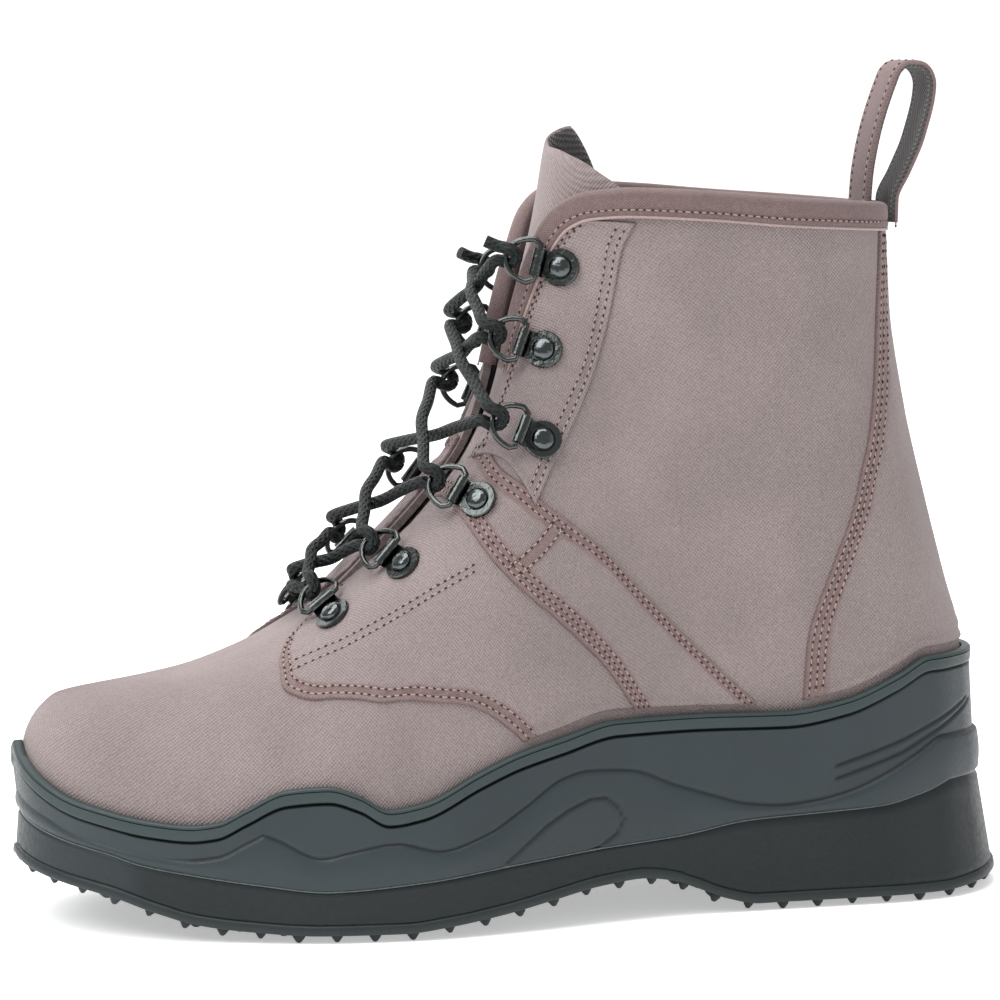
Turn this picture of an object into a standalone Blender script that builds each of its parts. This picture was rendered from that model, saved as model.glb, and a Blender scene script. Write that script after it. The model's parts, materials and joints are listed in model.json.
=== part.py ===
"""Left wading boot: rubber outsole, foam midsole, hollow canvas upper, tongue, overlays and lace hardware.

Metres, +Z up. The toe points along -X and the outer (lateral) side along -Y. The origin is on the floor
under the heel. Tables hold shares: 'along' runs from the heel's back edge (0) to the toe tip (1).
"""
import math

import bmesh
import bpy
import numpy as np
from mathutils import Matrix, Vector
from mathutils.bvhtree import BVHTree

# Driving dimensions
SOLE_LENGTH = 0.315
HEEL_BACK = 0.045            # from the origin to the heel's back edge
HALF_BALL = 0.059            # half the sole's width at the ball of the foot
SOLE_HEIGHT = 0.0765         # floor to the top of the rim at the heel
UPPER_RISE = 0.1445          # rim at the heel to the collar
WALL = 0.0024                # canvas, foam and lining of the upper
GAP = 0.0003                 # between pieces that meet
SKIN_GAP = 0.0005            # between the upper and what is sewn over it
FEATHER_INSET = 0.014        # sole's back edge to the upper's lower edge, at the heel
FULLNESS = 0.006             # how far the upper swells from the plain last
STUD_HEIGHT = 0.0023
STUD_RADIUS = 0.0028
STUD_PITCH = 0.026
EDGE_STUD_PITCH = 0.0175
HEEL_PAD = (0.024, 0.030)    # flat tread blocks in the middle of heel and forefoot, along and across
BALL_PAD = (0.030, 0.040)
BALL_PAD_X = -0.175
STRIP_HEIGHT = 0.0032        # thin bottom layer of the outsole
STRIP_STEP = 0.0007
RIM_WIDTH = 0.0032
CUP_EASE = 0.0008            # the cup's wall stands off the shell below the rim
RIM_BAND = 0.0046            # height of the stitched band along the rim
RIM_GROOVE = 0.0009
WAVE_STEP = 0.0012           # step of the waving line on the midsole's side
RIB_DEPTH = 0.0009           # heel ribs
INSOLE_THICKNESS = 0.004
TONGUE_THICKNESS = 0.003
TONGUE_RISE = 0.014          # tongue's top above the collar
OVERLAY = 0.0009
BINDING = 0.0011
BINDING_WIDTH = 0.0065
LOOP_WIDTH = 0.017
LOOP_THICKNESS = 0.0022
LOOP_RISE = 0.046            # loop's top above the collar
EYELET_RADIUS = 0.0058
EYELET_PLATE = 0.0010
PLATE_EASE = 0.0005          # flat plates stand a little off the curved overlays
EYELET_REACH = 0.0070        # rivet to the rolled barrel
RIVET_RADIUS = 0.0042
RIVET_HEIGHT = 0.0020
BARREL_WIDTH = 0.0080
RING_WIDTH = 0.0135
RING_REACH = 0.0098
RING_WIRE = 0.0009
RING_TILT = 8               # degrees that the pulled ring stands off its plate
LACE_RADIUS = 0.0019
LACE_SEAT = 0.0016           # the ring is this much shorter beside its middle, where a run of lace rests
LACE_LIFT = 0.0004           # a run of lace leaves its ring on the outer side
LACE_BOWS = (0.0020, 0.0020, 0.0025, 0.0025, 0.0020)   # how far each crossing bows out, toe first

COLUMNS = 33                 # columns of the shell from toe to heel, on each side
ROWS = 10
LATERAL, MEDIAL = -1, 1

# Sole outline: along, lateral and medial half width as shares of HALF_BALL (the toe swings inwards)
OUTLINE = (
    (0.000, 0.00, 0.00), (0.016, 0.34, 0.34), (0.048, 0.56, 0.56), (0.095, 0.695, 0.695),
    (0.159, 0.745, 0.73), (0.254, 0.745, 0.68), (0.349, 0.765, 0.63), (0.444, 0.85, 0.645),
    (0.540, 0.95, 0.73), (0.635, 1.00, 0.865), (0.714, 0.965, 0.95), (0.794, 0.85, 0.95),
    (0.873, 0.695, 0.865), (0.937, 0.50, 0.70), (0.968, 0.33, 0.55), (0.990, 0.14, 0.38),
    (1.000, -0.12, 0.12),
)
# Insets from the outline as shares of FEATHER_INSET: along, upper's lower edge, top of the outsole
INSET = (
    (0.00, 1.00, 0.50), (0.05, 0.79, 0.39), (0.16, 0.57, 0.21), (0.40, 0.50, 0.11),
    (0.64, 0.43, 0.09), (0.90, 0.39, 0.11), (1.00, 0.39, 0.14),
)
# Lift of the tread above its flat, as shares of SOLE_HEIGHT: heel bevel, arch and toe spring
TREAD = (
    (0.000, 0.035), (0.050, 0.012), (0.100, 0.0), (0.290, 0.0), (0.324, 0.029), (0.356, 0.081),
    (0.384, 0.122), (0.416, 0.140), (0.457, 0.127), (0.511, 0.088), (0.562, 0.048), (0.616, 0.017),
    (0.660, 0.0), (0.740, 0.0), (0.810, 0.017), (0.854, 0.041), (0.883, 0.075), (0.930, 0.140),
    (0.968, 0.173), (1.000, 0.231),
)
# Heights on the side of the sole as shares of SOLE_HEIGHT: along, height
SPLIT = (
    (0.000, 0.47), (0.070, 0.484), (0.114, 0.44), (0.165, 0.40), (0.229, 0.386), (0.302, 0.372),
    (0.375, 0.327), (0.454, 0.308), (0.537, 0.278), (0.635, 0.231), (0.733, 0.203), (0.797, 0.23),
    (0.851, 0.261), (0.902, 0.297), (0.930, 0.333), (0.965, 0.366), (1.000, 0.444),
)
WAVE = (
    (0.000, 0.65), (0.086, 0.665), (0.114, 0.612), (0.152, 0.537), (0.190, 0.473), (0.229, 0.437),
    (0.263, 0.424), (0.302, 0.439), (0.337, 0.480), (0.375, 0.532), (0.425, 0.608), (0.470, 0.620),
    (0.495, 0.599), (0.540, 0.489), (0.575, 0.403), (0.622, 0.348), (0.667, 0.384), (0.711, 0.353),
    (0.737, 0.331), (0.781, 0.408), (0.800, 0.431), (0.832, 0.390), (0.857, 0.370), (0.930, 0.400),
    (1.000, 0.520),
)
RIM = (
    (0.000, 0.993), (0.098, 1.000), (0.143, 0.928), (0.197, 0.843), (0.260, 0.804), (0.352, 0.810),
    (0.435, 0.810), (0.495, 0.758), (0.540, 0.712), (0.581, 0.647), (0.641, 0.536), (0.673, 0.516),
    (0.702, 0.575), (0.730, 0.608), (0.768, 0.595), (0.806, 0.523), (0.832, 0.470), (0.857, 0.457),
    (0.892, 0.470), (0.937, 0.510), (0.959, 0.536), (0.984, 0.600), (1.000, 0.720),
)
BED = (
    (0.000, 0.627), (0.232, 0.627), (0.359, 0.562), (0.486, 0.431), (0.613, 0.340), (0.708, 0.314),
    (0.803, 0.314), (0.857, 0.340), (0.898, 0.373), (0.937, 0.412), (0.987, 0.484), (1.000, 0.503),
)
# Top edge of the shell, met by the column that starts at 'along' on the sole: ridge of the vamp, throat,
# collar. Columns: along, place along the sole, rise (share of UPPER_RISE above SOLE_HEIGHT), half width and
# middle line as shares of HALF_BALL
TOP = (
    (0.000, 0.127, 0.960, 0.00, 0.00), (0.045, 0.135, 0.960, 0.20, 0.00), (0.075, 0.146, 0.962, 0.36, 0.00),
    (0.135, 0.194, 0.969, 0.60, 0.00), (0.215, 0.270, 0.979, 0.73, 0.00), (0.295, 0.352, 0.993, 0.70, 0),
    (0.345, 0.415, 0.998, 0.56, 0), (0.375, 0.452, 0.990, 0.42, 0), (0.400, 0.478, 0.955, 0.30, 0.00),
    (0.440, 0.500, 0.850, 0.215, 0.00), (0.480, 0.517, 0.715, 0.195, 0.00), (0.525, 0.527, 0.590, 0.190, 0.01),
    (0.570, 0.548, 0.460, 0.180, 0.02), (0.620, 0.587, 0.350, 0.160, 0.03), (0.675, 0.644, 0.225, 0.110, 0.05),
    (0.725, 0.702, 0.120, 0.00, 0.07), (0.790, 0.768, 0.037, 0.00, 0.10), (0.860, 0.824, -0.007, 0.00, 0.12),
    (0.930, 0.892, -0.031, 0.00, 0.12), (1.000, 0.946, -0.045, 0.00, 0.12),
)
# Roundness of the shell's sections: 1 is straight from sole to top edge, 2 an ellipse
ROUNDNESS = (
    (0.00, 1.05), (0.20, 1.10), (0.30, 1.20), (0.36, 1.35), (0.40, 1.55), (0.44, 1.85), (0.48, 2.00),
    (0.525, 2.10), (0.62, 2.10), (0.725, 2.20), (0.86, 2.30), (1.00, 2.30),
)
# Swell as shares of FULLNESS: height share, then at the places along the sole in SWELL_ALONG
SWELL_ALONG = (0.0, 0.20, 0.42, 0.60, 0.80, 1.0)
SWELL = (
    (0.00, 0.0, 0.0, 0.0, 0.0, 0.0, 0.0), (0.17, 0.75, 0.42, 0.16, 0.16, 0.16, 0.42),
    (0.30, 0.25, 0.25, 0.08, 0.16, 0.16, 0.50), (0.45, -0.20, -0.17, 0.00, 0.16, 0.16, 0.53),
    (0.62, -0.60, -0.50, -0.17, 0.08, 0.08, 0.50), (0.77, -0.80, -0.42, -0.17, 0.0, 0.0, 0.37),
    (0.90, -0.45, -0.20, -0.08, 0.0, 0.0, 0.17), (1.00, 0.0, 0.0, 0.0, 0.0, 0.0, 0.0),
)


class Course:
    """A smooth curve through the rows of a table, which never swings past them."""

    def __init__(self, rows, column=1, key=lambda share: share):
        self.x = np.array([key(row[0]) for row in rows])
        self.y = np.array([row[column] for row in rows])
        step = np.diff(self.x)
        rise = np.diff(self.y) / step
        self.slope = np.zeros(len(rows))
        self.slope[0], self.slope[-1] = rise[0], rise[-1]
        for i in range(1, len(rows) - 1):
            if rise[i - 1] * rise[i] > 0:
                near, far = 2 * step[i] + step[i - 1], step[i] + 2 * step[i - 1]
                self.slope[i] = (near + far) / (near / rise[i - 1] + far / rise[i])

    def __call__(self, x):
        x = min(max(x, self.x[0]), self.x[-1])
        i = min(max(int(np.searchsorted(self.x, x)) - 1, 0), len(self.x) - 2)
        width = self.x[i + 1] - self.x[i]
        t = (x - self.x[i]) / width
        hold, pull = t * t * (3 - 2 * t), t * (1 - t)
        value = self.y[i] + hold * (self.y[i + 1] - self.y[i])
        return value + width * pull * ((1 - t) * self.slope[i] - t * self.slope[i + 1])


def turn(along):
    """The share along the sole as a share of the half turn round its outline."""
    return math.acos(1 - 2 * along) / math.pi


def along(s):
    return (1 - math.cos(math.pi * s)) / 2


def table(rows, column=1):
    return Course(rows, column, turn)


half_lateral, half_medial = table(OUTLINE, 1), table(OUTLINE, 2)
feather_inset, split_inset = table(INSET, 1), table(INSET, 2)
tread_lift, split_share, wave_share = table(TREAD), table(SPLIT), table(WAVE)
rim_share, bed_share = table(RIM), table(BED)
top_along, top_rise, top_half, top_middle = (table(TOP, column) for column in (1, 2, 3, 4))
roundness = table(ROUNDNESS)
swell_at = [Course(SWELL, column) for column in range(1, len(SWELL_ALONG) + 1)]


def tread_z(s):
    return STUD_HEIGHT + SOLE_HEIGHT * tread_lift(s)


def split_z(s):
    return SOLE_HEIGHT * split_share(s)


def rim_z(s):
    return SOLE_HEIGHT * rim_share(s)


def bed_z(s):
    return SOLE_HEIGHT * bed_share(s)


def outline(side, s):
    half = half_lateral(s) if side == LATERAL else half_medial(s)
    return np.array([HEEL_BACK - SOLE_LENGTH * along(s), side * HALF_BALL * half])


def outward(side, s):
    """The outline's normal in plan, square to the long axis at the heel and the toe."""
    if s < 1e-6 or s > 1 - 1e-6:
        return np.array([1.0 if s < 0.5 else -1.0, 0.0])
    e = 0.004
    run = outline(side, min(s + e, 1)) - outline(side, max(s - e, 0))
    normal = np.array([run[1], -run[0]]) * side
    return normal / np.linalg.norm(normal)


def sole_edge(side, s, inset, z):
    x, y = outline(side, s) - outward(side, s) * inset
    return np.array([x, y, z])


def foot_edge(side, s):
    """The shell's lower edge, on the bed of the midsole."""
    return sole_edge(side, s, FEATHER_INSET * feather_inset(s), bed_z(s) + GAP)


def top_edge(side, s):
    x = HEEL_BACK - SOLE_LENGTH * top_along(s)
    y = HALF_BALL * (side * top_half(s) + top_middle(s))
    return np.array([x, y, SOLE_HEIGHT + UPPER_RISE * top_rise(s)])


def swell(s, h):
    place = along(s)
    values = [course(h) for course in swell_at]
    return FULLNESS * float(np.interp(place, SWELL_ALONG, values))


def shell_at_height(side, s, h):
    """A point of the shell's outer face at the share h of the way up its column."""
    foot, top = foot_edge(side, s), top_edge(side, s)
    n = roundness(s)
    reach = max(1 - h ** n, 0) ** (1 / n)
    point = top + reach * (foot - top)
    point[:2] += swell(s, h) * outward(side, s)
    point[2] = foot[2] + h * (top[2] - foot[2])
    return point


def height_share(s, v):
    bend = min(max(roundness(s) - 1, 0), 1)
    return (1 - bend) * v + bend * math.sin(math.pi * v / 2)


def shell(side, s, v):
    return shell_at_height(side, s, min(height_share(s, v), 1.0))


def shell_normal(side, s, v):
    e = 0.004
    across = shell(side, min(s + e, 1), v) - shell(side, max(s - e, 0), v)
    if s < 1e-6 or s > 1 - 1e-6:
        across = np.array([0.0, side if s < 0.5 else -side, 0.0])
    up = shell(side, s, min(v + e, 1)) - shell(side, s, max(v - e, 0))
    normal = np.cross(across, up) * side
    return normal / np.linalg.norm(normal)


def raised(side, s, v, lift):
    """A point of the shell moved square to its face: outwards, or inwards where lift is negative."""
    return shell(side, s, v) + lift * shell_normal(side, s, v)


def rim_v(side, s, above=0.0):
    """Where the column passes the top of the midsole's rim."""
    low, high = 0.0, 1.0
    for _ in range(22):
        middle = (low + high) / 2
        if shell(side, s, middle)[2] < rim_z(s) + above:
            low = middle
        else:
            high = middle
    return high


def visible(side, s, u, lift):
    """A point over the part of the shell that shows: u runs from the rim (0) to the top edge (1)."""
    start = rim_v(side, s, SKIN_GAP)
    return raised(side, s, start + u * (1 - start), lift)


def edge_frame(side, s):
    """At the opening's edge: the point, its outward normal and the way in along the wall."""
    e = 0.006
    run = top_edge(side, min(s + e, 1)) - top_edge(side, max(s - e, 0))
    if s < 1e-6:
        run = np.array([0.0, 1.0, 0.0]) * side
    normal = shell_normal(side, s, 0.985)
    inward = np.cross(run, normal) * side
    inward -= normal * np.dot(inward, normal)
    inward /= np.linalg.norm(inward)
    return top_edge(side, s), normal, inward


def set_in(side, s, distance):
    """The place (s, v) on the wall that lies a distance in from the opening's edge, square to it."""
    point, _, inward = edge_frame(side, s)
    target = point + inward * distance
    place = np.array([s, 0.96])
    e = 0.003
    for _ in range(8):
        here = shell(side, *place)
        ds = (shell(side, place[0] + e, place[1]) - shell(side, max(place[0] - e, 0), place[1]))
        ds /= e + min(e, place[0])
        dv = (here - shell(side, place[0], place[1] - e)) / e
        move, *_ = np.linalg.lstsq(np.stack([ds, dv], axis=1), target - here, rcond=None)
        place = place + np.clip(move, -0.08, 0.08)
        place = np.array([min(max(place[0], 0.0), 1.0), min(max(place[1], 0.05), 1.0)])
    if s < 1e-6:
        place[0] = 0.0
    return float(place[0]), float(place[1])


def column_places():
    """Places round the outline, spaced evenly along the sole's edge and the top edge together."""
    fine = np.linspace(0, 1, 1200)
    feet = np.array([foot_edge(LATERAL, s) for s in fine])
    tops = np.array([top_edge(LATERAL, s) for s in fine])
    steps = np.linalg.norm(np.diff(feet, axis=0), axis=1) + np.linalg.norm(np.diff(tops, axis=0), axis=1)
    run = np.concatenate([[0], np.cumsum(steps)])
    return [float(s) for s in np.interp(np.linspace(0, run[-1], COLUMNS + 1), run, fine)]


PLACES = column_places()


def ring(point):
    """A closed loop: the toe, the lateral side back to the heel, then the medial side forward."""
    lateral = [point(LATERAL, s) for s in reversed(PLACES)]
    medial = [point(MEDIAL, s) for s in PLACES[1:-1]]
    return lateral + medial


def mesh_object(name, vertices, faces, material, smooth=40):
    mesh = bpy.data.meshes.new(name)
    mesh.from_pydata([tuple(v) for v in vertices], [], faces)
    bm = bmesh.new()
    bm.from_mesh(mesh)
    bmesh.ops.remove_doubles(bm, verts=bm.verts, dist=1e-6)
    bmesh.ops.dissolve_degenerate(bm, edges=bm.edges, dist=1e-7)
    bmesh.ops.recalc_face_normals(bm, faces=bm.faces)
    bm.to_mesh(mesh)
    bm.free()
    mesh.shade_smooth()
    mesh.set_sharp_from_angle(angle=math.radians(smooth))
    obj = bpy.data.objects.new(name, mesh)
    mesh.materials.append(material)
    BOOT.objects.link(obj)
    return obj


def strips_across(count, offset, flip):
    """Faces that close a ring of points from one side of the foot to the other."""
    faces = []
    for i in range(count // 2):
        a, b = i, i + 1
        c, d = (count - b) % count, (count - a) % count
        face = [index for k, index in enumerate((a, b, c, d)) if index not in (a, b, c, d)[:k]]
        if len(face) > 2:
            faces.append([offset + index for index in (reversed(face) if flip else face)])
    return faces


def ring_loft(name, rings, material, smooth=40):
    """A closed body from loops of the sole, bottom to top, with both ends closed across."""
    count = len(rings[0])
    vertices = [point for loop in rings for point in loop]
    faces = []
    for level in range(len(rings) - 1):
        base = level * count
        for i in range(count):
            j = (i + 1) % count
            faces.append([base + i, base + j, base + count + j, base + count + i])
    faces += strips_across(count, 0, False)
    faces += strips_across(count, (len(rings) - 1) * count, True)
    return mesh_object(name, vertices, faces, material, smooth)


def slab(name, outer, inner, material, closed=False, smooth=40):
    """A closed body between two grids of points, outer and inner, which have the same rows and columns."""
    rows, columns = len(outer), len(outer[0])
    vertices = [p for row in outer for p in row] + [p for row in inner for p in row]
    layer = rows * columns
    faces = []

    def at(row, column, deep):
        return deep * layer + row * columns + column % columns

    spans = columns if closed else columns - 1
    for row in range(rows - 1):
        for column in range(spans):
            corners = ((row, column), (row, column + 1), (row + 1, column + 1), (row + 1, column))
            faces.append([at(r, c, 0) for r, c in corners])
            faces.append([at(r, c, 1) for r, c in reversed(corners)])
    for row in (0, rows - 1):
        for column in range(spans):
            left, right = (row, column), (row, column + 1)
            faces.append([at(*left, 0), at(*right, 0), at(*right, 1), at(*left, 1)])
    if not closed:
        for column in (0, columns - 1):
            for row in range(rows - 1):
                low, high = (row, column), (row + 1, column)
                faces.append([at(*low, 0), at(*high, 0), at(*high, 1), at(*low, 1)])
    return mesh_object(name, vertices, faces, material, smooth)


def join(target, tools):
    """Union of the tools with the target, applied."""
    for tool in tools:
        cut = target.modifiers.new("join", "BOOLEAN")
        cut.operation = "UNION"
        cut.object = tool
        bpy.context.view_layer.update()
        graph = bpy.context.evaluated_depsgraph_get()
        mesh = bpy.data.meshes.new_from_object(target.evaluated_get(graph))
        target.modifiers.clear()
        target.data = mesh
        bpy.data.objects.remove(tool)
    return target


def material(name, colour, roughness, metallic=0.0):
    made = bpy.data.materials.new(name)
    made.use_nodes = True
    shader = made.node_tree.nodes["Principled BSDF"]
    shader.inputs["Base Color"].default_value = (*colour, 1.0)
    shader.inputs["Roughness"].default_value = roughness
    shader.inputs["Metallic"].default_value = metallic
    return made


def tube(name, points, radius, mat, cyclic=False, sides=2):
    """A round cord or wire through the points, as a closed mesh."""
    curve = bpy.data.curves.new(name, "CURVE")
    curve.dimensions = "3D"
    curve.bevel_depth = radius
    curve.bevel_resolution = sides
    curve.use_fill_caps = True
    spline = curve.splines.new("POLY")
    spline.points.add(len(points) - 1)
    for point, place in zip(spline.points, points):
        point.co = (*place, 1.0)
    spline.use_cyclic_u = cyclic
    guide = bpy.data.objects.new(name + "_guide", curve)
    BOOT.objects.link(guide)
    bpy.context.view_layer.update()
    mesh = bpy.data.meshes.new_from_object(guide.evaluated_get(bpy.context.evaluated_depsgraph_get()))
    bpy.data.objects.remove(guide)
    bm = bmesh.new()
    bm.from_mesh(mesh)
    bmesh.ops.remove_doubles(bm, verts=bm.verts, dist=1e-6)
    bmesh.ops.recalc_face_normals(bm, faces=bm.faces)
    bm.to_mesh(mesh)
    bm.free()
    mesh.name = name
    mesh.shade_smooth()
    mesh.materials.clear()
    mesh.materials.append(mat)
    obj = bpy.data.objects.new(name, mesh)
    BOOT.objects.link(obj)
    return obj


def solid(name, mat):
    """A new object from bmesh primitives: returns the bmesh and a function that finishes it."""
    bm = bmesh.new()

    def finish(smooth=40):
        bmesh.ops.recalc_face_normals(bm, faces=bm.faces)
        mesh = bpy.data.meshes.new(name)
        bm.to_mesh(mesh)
        bm.free()
        mesh.shade_smooth()
        mesh.set_sharp_from_angle(angle=math.radians(smooth))
        mesh.materials.append(mat)
        obj = bpy.data.objects.new(name, mesh)
        BOOT.objects.link(obj)
        return obj

    return bm, finish


# Sole

def inside_sole(x, y, margin):
    """Whether a point of the tread keeps its margin to the outline."""
    share = (HEEL_BACK - x) / SOLE_LENGTH
    if not 0.02 < share < 0.97:
        return False
    s = turn(share)
    lateral, medial = outline(LATERAL, s)[1], outline(MEDIAL, s)[1]
    ends = min(share, 1 - share) * SOLE_LENGTH
    return lateral + margin < y < medial - margin and ends > margin * 0.8


def tread_studs(mat):
    """Small studs round the edge and in rows inside it, and a flat block under the heel and the ball."""
    bm, finish = solid("studs", mat)
    margin = STUD_RADIUS + 0.0022
    sunk = 0.0012
    pads = ((0.0, 0.0, HEEL_PAD), (BALL_PAD_X, 0.0, BALL_PAD))

    def stud(x, y):
        share = min(max((HEEL_BACK - x) / SOLE_LENGTH, 0.0), 1.0)
        made = bmesh.ops.create_cone(bm, cap_ends=True, segments=4, radius1=STUD_RADIUS * 0.5,
                                     radius2=STUD_RADIUS, depth=STUD_HEIGHT + sunk)
        middle = tread_z(turn(share)) - STUD_HEIGHT + (STUD_HEIGHT + sunk) / 2
        bmesh.ops.translate(bm, verts=made["verts"], vec=(x, y, middle))

    for side in (LATERAL, MEDIAL):
        fine = [sole_edge(side, s, margin, 0.0) for s in np.linspace(0, 1, 400)]
        run = np.concatenate([[0], np.cumsum([np.linalg.norm(b - a) for a, b in zip(fine, fine[1:])])])
        count = int(run[-1] / EDGE_STUD_PITCH)
        for k in range(count):
            place = (k + 0.5) * run[-1] / count
            x, y = (float(np.interp(place, run, [p[axis] for p in fine])) for axis in (0, 1))
            stud(x, y)
    across = int(HALF_BALL / STUD_PITCH) + 1
    for row in range(int(SOLE_LENGTH / STUD_PITCH) + 1):
        x = HEEL_BACK - STUD_PITCH - row * STUD_PITCH
        for column in range(-across, across + 1):
            y = (column + 0.5 * (row % 2)) * STUD_PITCH
            over_pad = any(abs(x - px) < size[0] / 2 + 0.004 and abs(y - py) < size[1] / 2 + 0.004
                           for px, py, size in pads)
            if not over_pad and inside_sole(x, y, margin + 0.55 * STUD_PITCH):
                stud(x, y)
    for px, py, size in pads:
        made = bmesh.ops.create_cube(bm, size=1.0)
        bmesh.ops.scale(bm, verts=made["verts"], vec=(size[0], size[1], STUD_HEIGHT + sunk))
        bmesh.ops.translate(bm, verts=made["verts"], vec=(px, py, (STUD_HEIGHT + sunk) / 2))
    return finish()


def make_outsole(mat):
    chamfer = 0.0012

    def flank(side, s, share, inset):
        """A point on the flared side between the ground edge and the split."""
        low, high = tread_z(s), split_z(s)
        return sole_edge(side, s, FEATHER_INSET * split_inset(s) * share + inset, low + share * (high - low))

    def strip_share(s):
        return STRIP_HEIGHT / (split_z(s) - tread_z(s))

    rings = [
        ring(lambda side, s: sole_edge(side, s, chamfer, tread_z(s))),
        ring(lambda side, s: flank(side, s, 0.35 * strip_share(s), 0.0)),
        ring(lambda side, s: flank(side, s, strip_share(s), 0.0)),
        ring(lambda side, s: flank(side, s, 1.25 * strip_share(s), STRIP_STEP)),
        ring(lambda side, s: sole_edge(side, s, FEATHER_INSET * split_inset(s), split_z(s) - GAP / 2)),
    ]
    body = ring_loft("outsole", rings, mat)
    return join(body, [tread_studs(mat)])


def rim_outer(side, s, inset, z):
    """The outer face of the rim, which follows the shell at the rim's height."""
    point = shell(side, s, rim_v(side, s))
    point[:2] += outward(side, s) * (RIM_WIDTH + GAP - inset)
    point[2] = z
    return point


def make_midsole(mat):
    heel = Course(((0.0, 1.0), (0.12, 1.0), (0.20, 0.0), (1.0, 0.0)), 1, turn)

    def wall(side, s, height, inset):
        """A point of the side wall at a height, between the split and the rim."""
        low = sole_edge(side, s, FEATHER_INSET * split_inset(s), split_z(s) + GAP / 2)
        high = rim_outer(side, s, 0.0, rim_z(s))
        share = (height - low[2]) / (high[2] - low[2])
        point = low + share * (high - low)
        point[:2] -= outward(side, s) * inset
        return point

    def groove_z(s):
        return rim_z(s) - RIM_BAND - RIM_GROOVE

    def wave_z(s):
        ledge = 0.0016
        return min(max(SOLE_HEIGHT * wave_share(s), split_z(s) + 2 * ledge), groove_z(s) - 3 * ledge)

    def rib_z(s, share):
        return wave_z(s) + share * (groove_z(s) - wave_z(s))

    edge = 0.0005
    step = WAVE_STEP
    rings = [
        ring(lambda side, s: wall(side, s, split_z(s) + GAP / 2, 0.0)),
        ring(lambda side, s: wall(side, s, wave_z(s) - edge, -0.4 * step)),
        ring(lambda side, s: wall(side, s, wave_z(s) + edge, 0.6 * step)),
    ]
    for share in (0.33, 0.62):
        rings.append(ring(lambda side, s, share=share: wall(side, s, rib_z(s, share) - edge, 0.5 * step)))
        rings.append(ring(lambda side, s, share=share: wall(
            side, s, rib_z(s, share) + edge, 0.5 * step + RIB_DEPTH * heel(s))))
    rings += [
        ring(lambda side, s: wall(side, s, groove_z(s), 0.3 * step)),
        ring(lambda side, s: rim_outer(side, s, RIM_GROOVE, rim_z(s) - RIM_BAND - 0.4 * RIM_GROOVE)),
        ring(lambda side, s: rim_outer(side, s, 0.0, rim_z(s) - RIM_BAND + 0.4 * RIM_GROOVE)),
        ring(lambda side, s: rim_outer(side, s, 0.1 * RIM_WIDTH, rim_z(s))),
        ring(lambda side, s: rim_outer(side, s, RIM_WIDTH, rim_z(s))),
    ]

    def cup(side, s, share):
        """The cup's inner wall, just outside the shell, from the rim down to the bed."""
        point = shell(side, s, rim_v(side, s) * (1 - share))
        point[:2] += outward(side, s) * (GAP + CUP_EASE)
        if share == 1:
            point[2] = bed_z(s)
        return point

    rings += [ring(lambda side, s, share=share: cup(side, s, share)) for share in (0.4, 0.75, 1)]
    return ring_loft("midsole", rings, mat)


def make_insole(mat):
    def edge(side, s, inset, lift):
        clear = WALL + 2 * GAP
        return sole_edge(side, s, FEATHER_INSET * feather_inset(s) + clear + inset, bed_z(s) + GAP + lift)

    rounding = 0.0012
    return ring_loft("insole", [
        ring(lambda side, s: edge(side, s, 0.0, 0.0)),
        ring(lambda side, s: edge(side, s, 0.0, INSOLE_THICKNESS - rounding)),
        ring(lambda side, s: edge(side, s, rounding, INSOLE_THICKNESS)),
    ], mat)


# Upper

def make_upper(mat):
    """One hollow shell: the outer face and, a wall's thickness inside it, the inner face."""
    steps = [row / ROWS for row in range(ROWS + 1)]

    def layer(lift):
        return [ring(lambda side, s, v=v: shell_layer(side, s, v, lift)) for v in steps]

    def shell_layer(side, s, v, lift):
        if v == 1 and top_half(s) < 1e-6:
            normal = shell_normal(LATERAL, s, v) + shell_normal(MEDIAL, s, v)
            return top_edge(side, s) + lift * normal / np.linalg.norm(normal)
        point = raised(side, s, v, lift)
        if v == 0:
            point[2] = foot_edge(side, s)[2]
        return point

    outer, inner = layer(0.0), layer(-WALL)
    return shell_body("upper", outer, inner, mat)


def shell_body(name, outer, inner, mat):
    """Joins the two faces of the shell at the sole and round the opening; the ridge of the vamp is whole."""
    count, rows = len(outer[0]), len(outer)
    vertices = [p for row in outer for p in row] + [p for row in inner for p in row]
    layer = rows * count
    ridge = [top_half(s) < 1e-6 and s > 0.5 for s in reversed(PLACES)]
    faces = []
    for row in range(rows - 1):
        for i in range(count):
            j = (i + 1) % count
            a, b, c, d = row * count + i, row * count + j, (row + 1) * count + j, (row + 1) * count + i
            faces.append([a, b, c, d])
            faces.append([layer + d, layer + c, layer + b, layer + a])
    for i in range(count):
        j = (i + 1) % count
        faces.append([j, i, layer + i, layer + j])
        column = min(i, count - i)
        beside = min(j, count - j)
        if not (ridge[column] and ridge[beside]):
            top = (rows - 1) * count
            faces.append([top + i, top + j, layer + top + j, layer + top + i])
    return mesh_object(name, vertices, faces, mat)


# Tongue: throat place (along), then how far its edge lies back under the wall: along, and down the column
TONGUE_EDGE = (
    (0.740, 0.000, 0.30), (0.700, 0.005, 0.28), (0.640, 0.020, 0.26), (0.580, 0.035, 0.28),
    (0.525, 0.045, 0.33), (0.480, 0.055, 0.36), (0.440, 0.060, 0.33), (0.405, 0.070, 0.22),
)
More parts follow.
